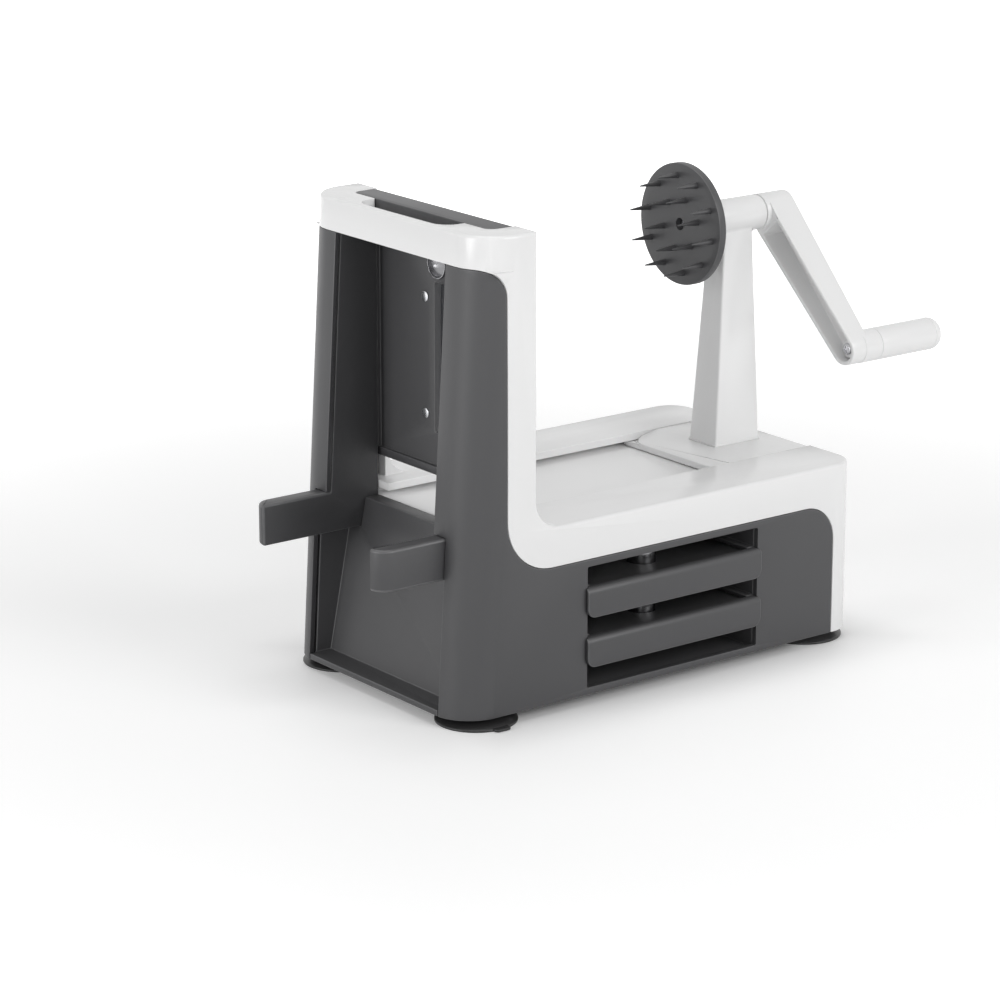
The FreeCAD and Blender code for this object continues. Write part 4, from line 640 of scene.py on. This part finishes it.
def screwSpots(node):
    # where the top of each screw's head is, and which way its shank points
    mergedCopy(node, "screw places")
    bpy.ops.object.mode_set(mode="EDIT")
    bpy.ops.mesh.select_all(action="SELECT")
    bpy.ops.mesh.separate(type="LOOSE")
    bpy.ops.object.mode_set(mode="OBJECT")
    for single in list(bpy.context.selected_objects):
        places = [vertex.co for vertex in single.data.vertices]
        low = Vector([min(place[side] for place in places) for side in range(3)])
        high = Vector([max(place[side] for place in places) for side in range(3)])
        axis = max(range(3), key=lambda side: high[side] - low[side])
        middle = (low + high) / 2
        direction = Vector([float(side == axis) for side in range(3)])
        spread = max(((place - middle) - direction * (place - middle).dot(direction)).length
                     for place in places if place[axis] < low[axis] + screw["endSlice"] * mm)
        if spread < screw["headSpread"] * mm:
            direction.negate()
        yield middle - direction * (high[axis] - low[axis]) / 2, direction
        bpy.data.objects.remove(single)


pattern = screwModel()
for node in ("side_screws", "rack_screws", "chute_screws", "post_screws", "crank_screws"):
    copies = []
    for index, (top, direction) in enumerate(list(screwSpots(node))):
        copy = addObject(f"{node}_pan_heads", pattern.data.copy())
        turn = Matrix.Rotation(math.radians(screw["turn"] * index), 4, "Z")
        upright = Vector((0, 0, 1)).rotation_difference(direction).to_matrix().to_4x4()
        copy.data.transform(Matrix.Translation(top + direction * screw["head"] * mm) @ upright @ turn)
        copies.append(copy)
    joined(copies, node)
bpy.data.objects.remove(pattern)
print("screws done")

# The camera's places are in millimetres, and so are its lens and its sensor
view = {"position": (-1084.705, -1342.710, 577.429), "target": (-62.89, -2.51, 84.74),
        "lens": 132.27, "sensor": 36.0, "farthest": 50000.0}
camera = addObject("camera", bpy.data.cameras.new("camera"))
camera.data.lens = view["lens"]
camera.data.sensor_width = view["sensor"]
camera.data.clip_end = view["farthest"] * mm
camera.location = Vector(view["position"]) * mm
sight = Vector(view["target"]) - Vector(view["position"])
camera.rotation_euler = sight.to_track_quat("-Z", "Y").to_euler()
bpy.context.scene.camera = camera

# Soft round lamps, each with its place, its size and its power, and an even white world
lamps = {
    "key": ((0.6, -2.2, 1.3), 1.6, 26),
    "front": ((-2.4, 0.1, 0.7), 1.2, 18),
    "top": ((0.0, 0.3, 2.6), 1.6, 15),
    "strip": ((-1.5, -1.7, 0.8), 0.5, 3.5),
}
studio = {"aim": (0, 0, 0.1), "white": (1, 1, 1, 1), "ambient": 0.32}


def areaLight(name, position, size, power):
    light = addObject(name, bpy.data.lights.new(name, "AREA"))
    light.data.shape = "DISK"
    light.data.size = size
    light.data.energy = power
    light.location = position
    toward = Vector(studio["aim"]) - Vector(position)
    light.rotation_euler = toward.to_track_quat("-Z", "Y").to_euler()


for name, (position, size, power) in lamps.items():
    areaLight(f"{name} light", position, size, power)


def seenRays(tree):
    # 1 for a ray that the camera sends, also by a mirror or through glass, and 0 for one that lights
    path = addNode(tree, "ShaderNodeLightPath").outputs
    mirrored = addMath(tree, "MAXIMUM", path["Is Camera Ray"], path["Is Glossy Ray"])
    return addMath(tree, "MAXIMUM", mirrored, path["Is Transmission Ray"])


world = bpy.data.worlds.new("studio")
bpy.context.scene.world = world
world.use_nodes = True
strength = addMix(world.node_tree, "FLOAT", seenRays(world.node_tree), studio["ambient"], 1.0)
feed(world.node_tree, world.node_tree.nodes["Background"], {"Color": studio["white"], "Strength": strength})

# The floor is white by itself away from the object, where it glows for camera rays; the glow fades near the
# object, so that the object's soft shadow shows, and it is cut out across the footprint and a rim around it,
# which paints extra shade on the floor there
# the footprint's half sizes and the ramp at its rim mark where the glow is cut out, which paints shade on
# the floor
floorLook = {"sides": 96, "radius": 6, "colour": (0.93, 0.93, 0.93, 1), "roughness": 0.6, "nearGlow": 0.2,
             "from": 0.25, "to": 1.2, "under": {"X": 0.1, "Y": 0.06}, "paintedShadowEdgeIn": -0.015, "paintedShadowEdgeOut": 0.05}


def addRamp(tree, source, low, high, first, last):
    values = {"Value": source, "From Min": low, "From Max": high, "To Min": first, "To Max": last}
    return addNode(tree, "ShaderNodeMapRange", values, interpolation_type="SMOOTHSTEP").outputs["Result"]


def floorMaterial():
    material, tree, shader = startMaterial("floor")
    place = objectPlace(tree)
    away = addNode(tree, "ShaderNodeVectorMath", {0: place}, operation="LENGTH").outputs["Value"]
    sides = addNode(tree, "ShaderNodeSeparateXYZ", {0: place}).outputs
    beside = [addMath(tree, "SUBTRACT", addMath(tree, "ABSOLUTE", sides[side]), half)
              for side, half in floorLook["under"].items()]
    outside = addMath(tree, "MAXIMUM", *beside)
    # 1 away from the footprint and 0 across it: where the glow is cut out, painted shade darkens the floor
    clear = addRamp(tree, outside, floorLook["paintedShadowEdgeIn"], floorLook["paintedShadowEdgeOut"], 0.0, 1.0)
    far = addRamp(tree, away, floorLook["from"], floorLook["to"], floorLook["nearGlow"], 1.0)
    glow = addMath(tree, "MULTIPLY", seenRays(tree), addMath(tree, "MULTIPLY", clear, far))
    grey = addNode(tree, "ShaderNodeCombineColor", {"Red": glow, "Green": glow, "Blue": glow})
    feed(tree, shader, {"Base Color": floorLook["colour"], "Roughness": floorLook["roughness"],
                        "Emission Color": grey.outputs["Color"], "Emission Strength": 1.0})
    return material


bpy.ops.object.select_all(action="DESELECT")
bpy.ops.mesh.primitive_circle_add(vertices=floorLook["sides"], radius=floorLook["radius"], fill_type="NGON",
                                  location=(0, 0, 0))
floor = bpy.context.object
floor.name = "floor"
floor.data.materials.append(floorMaterial())

bpy.context.scene.view_settings.view_transform = "Standard"

print("done")
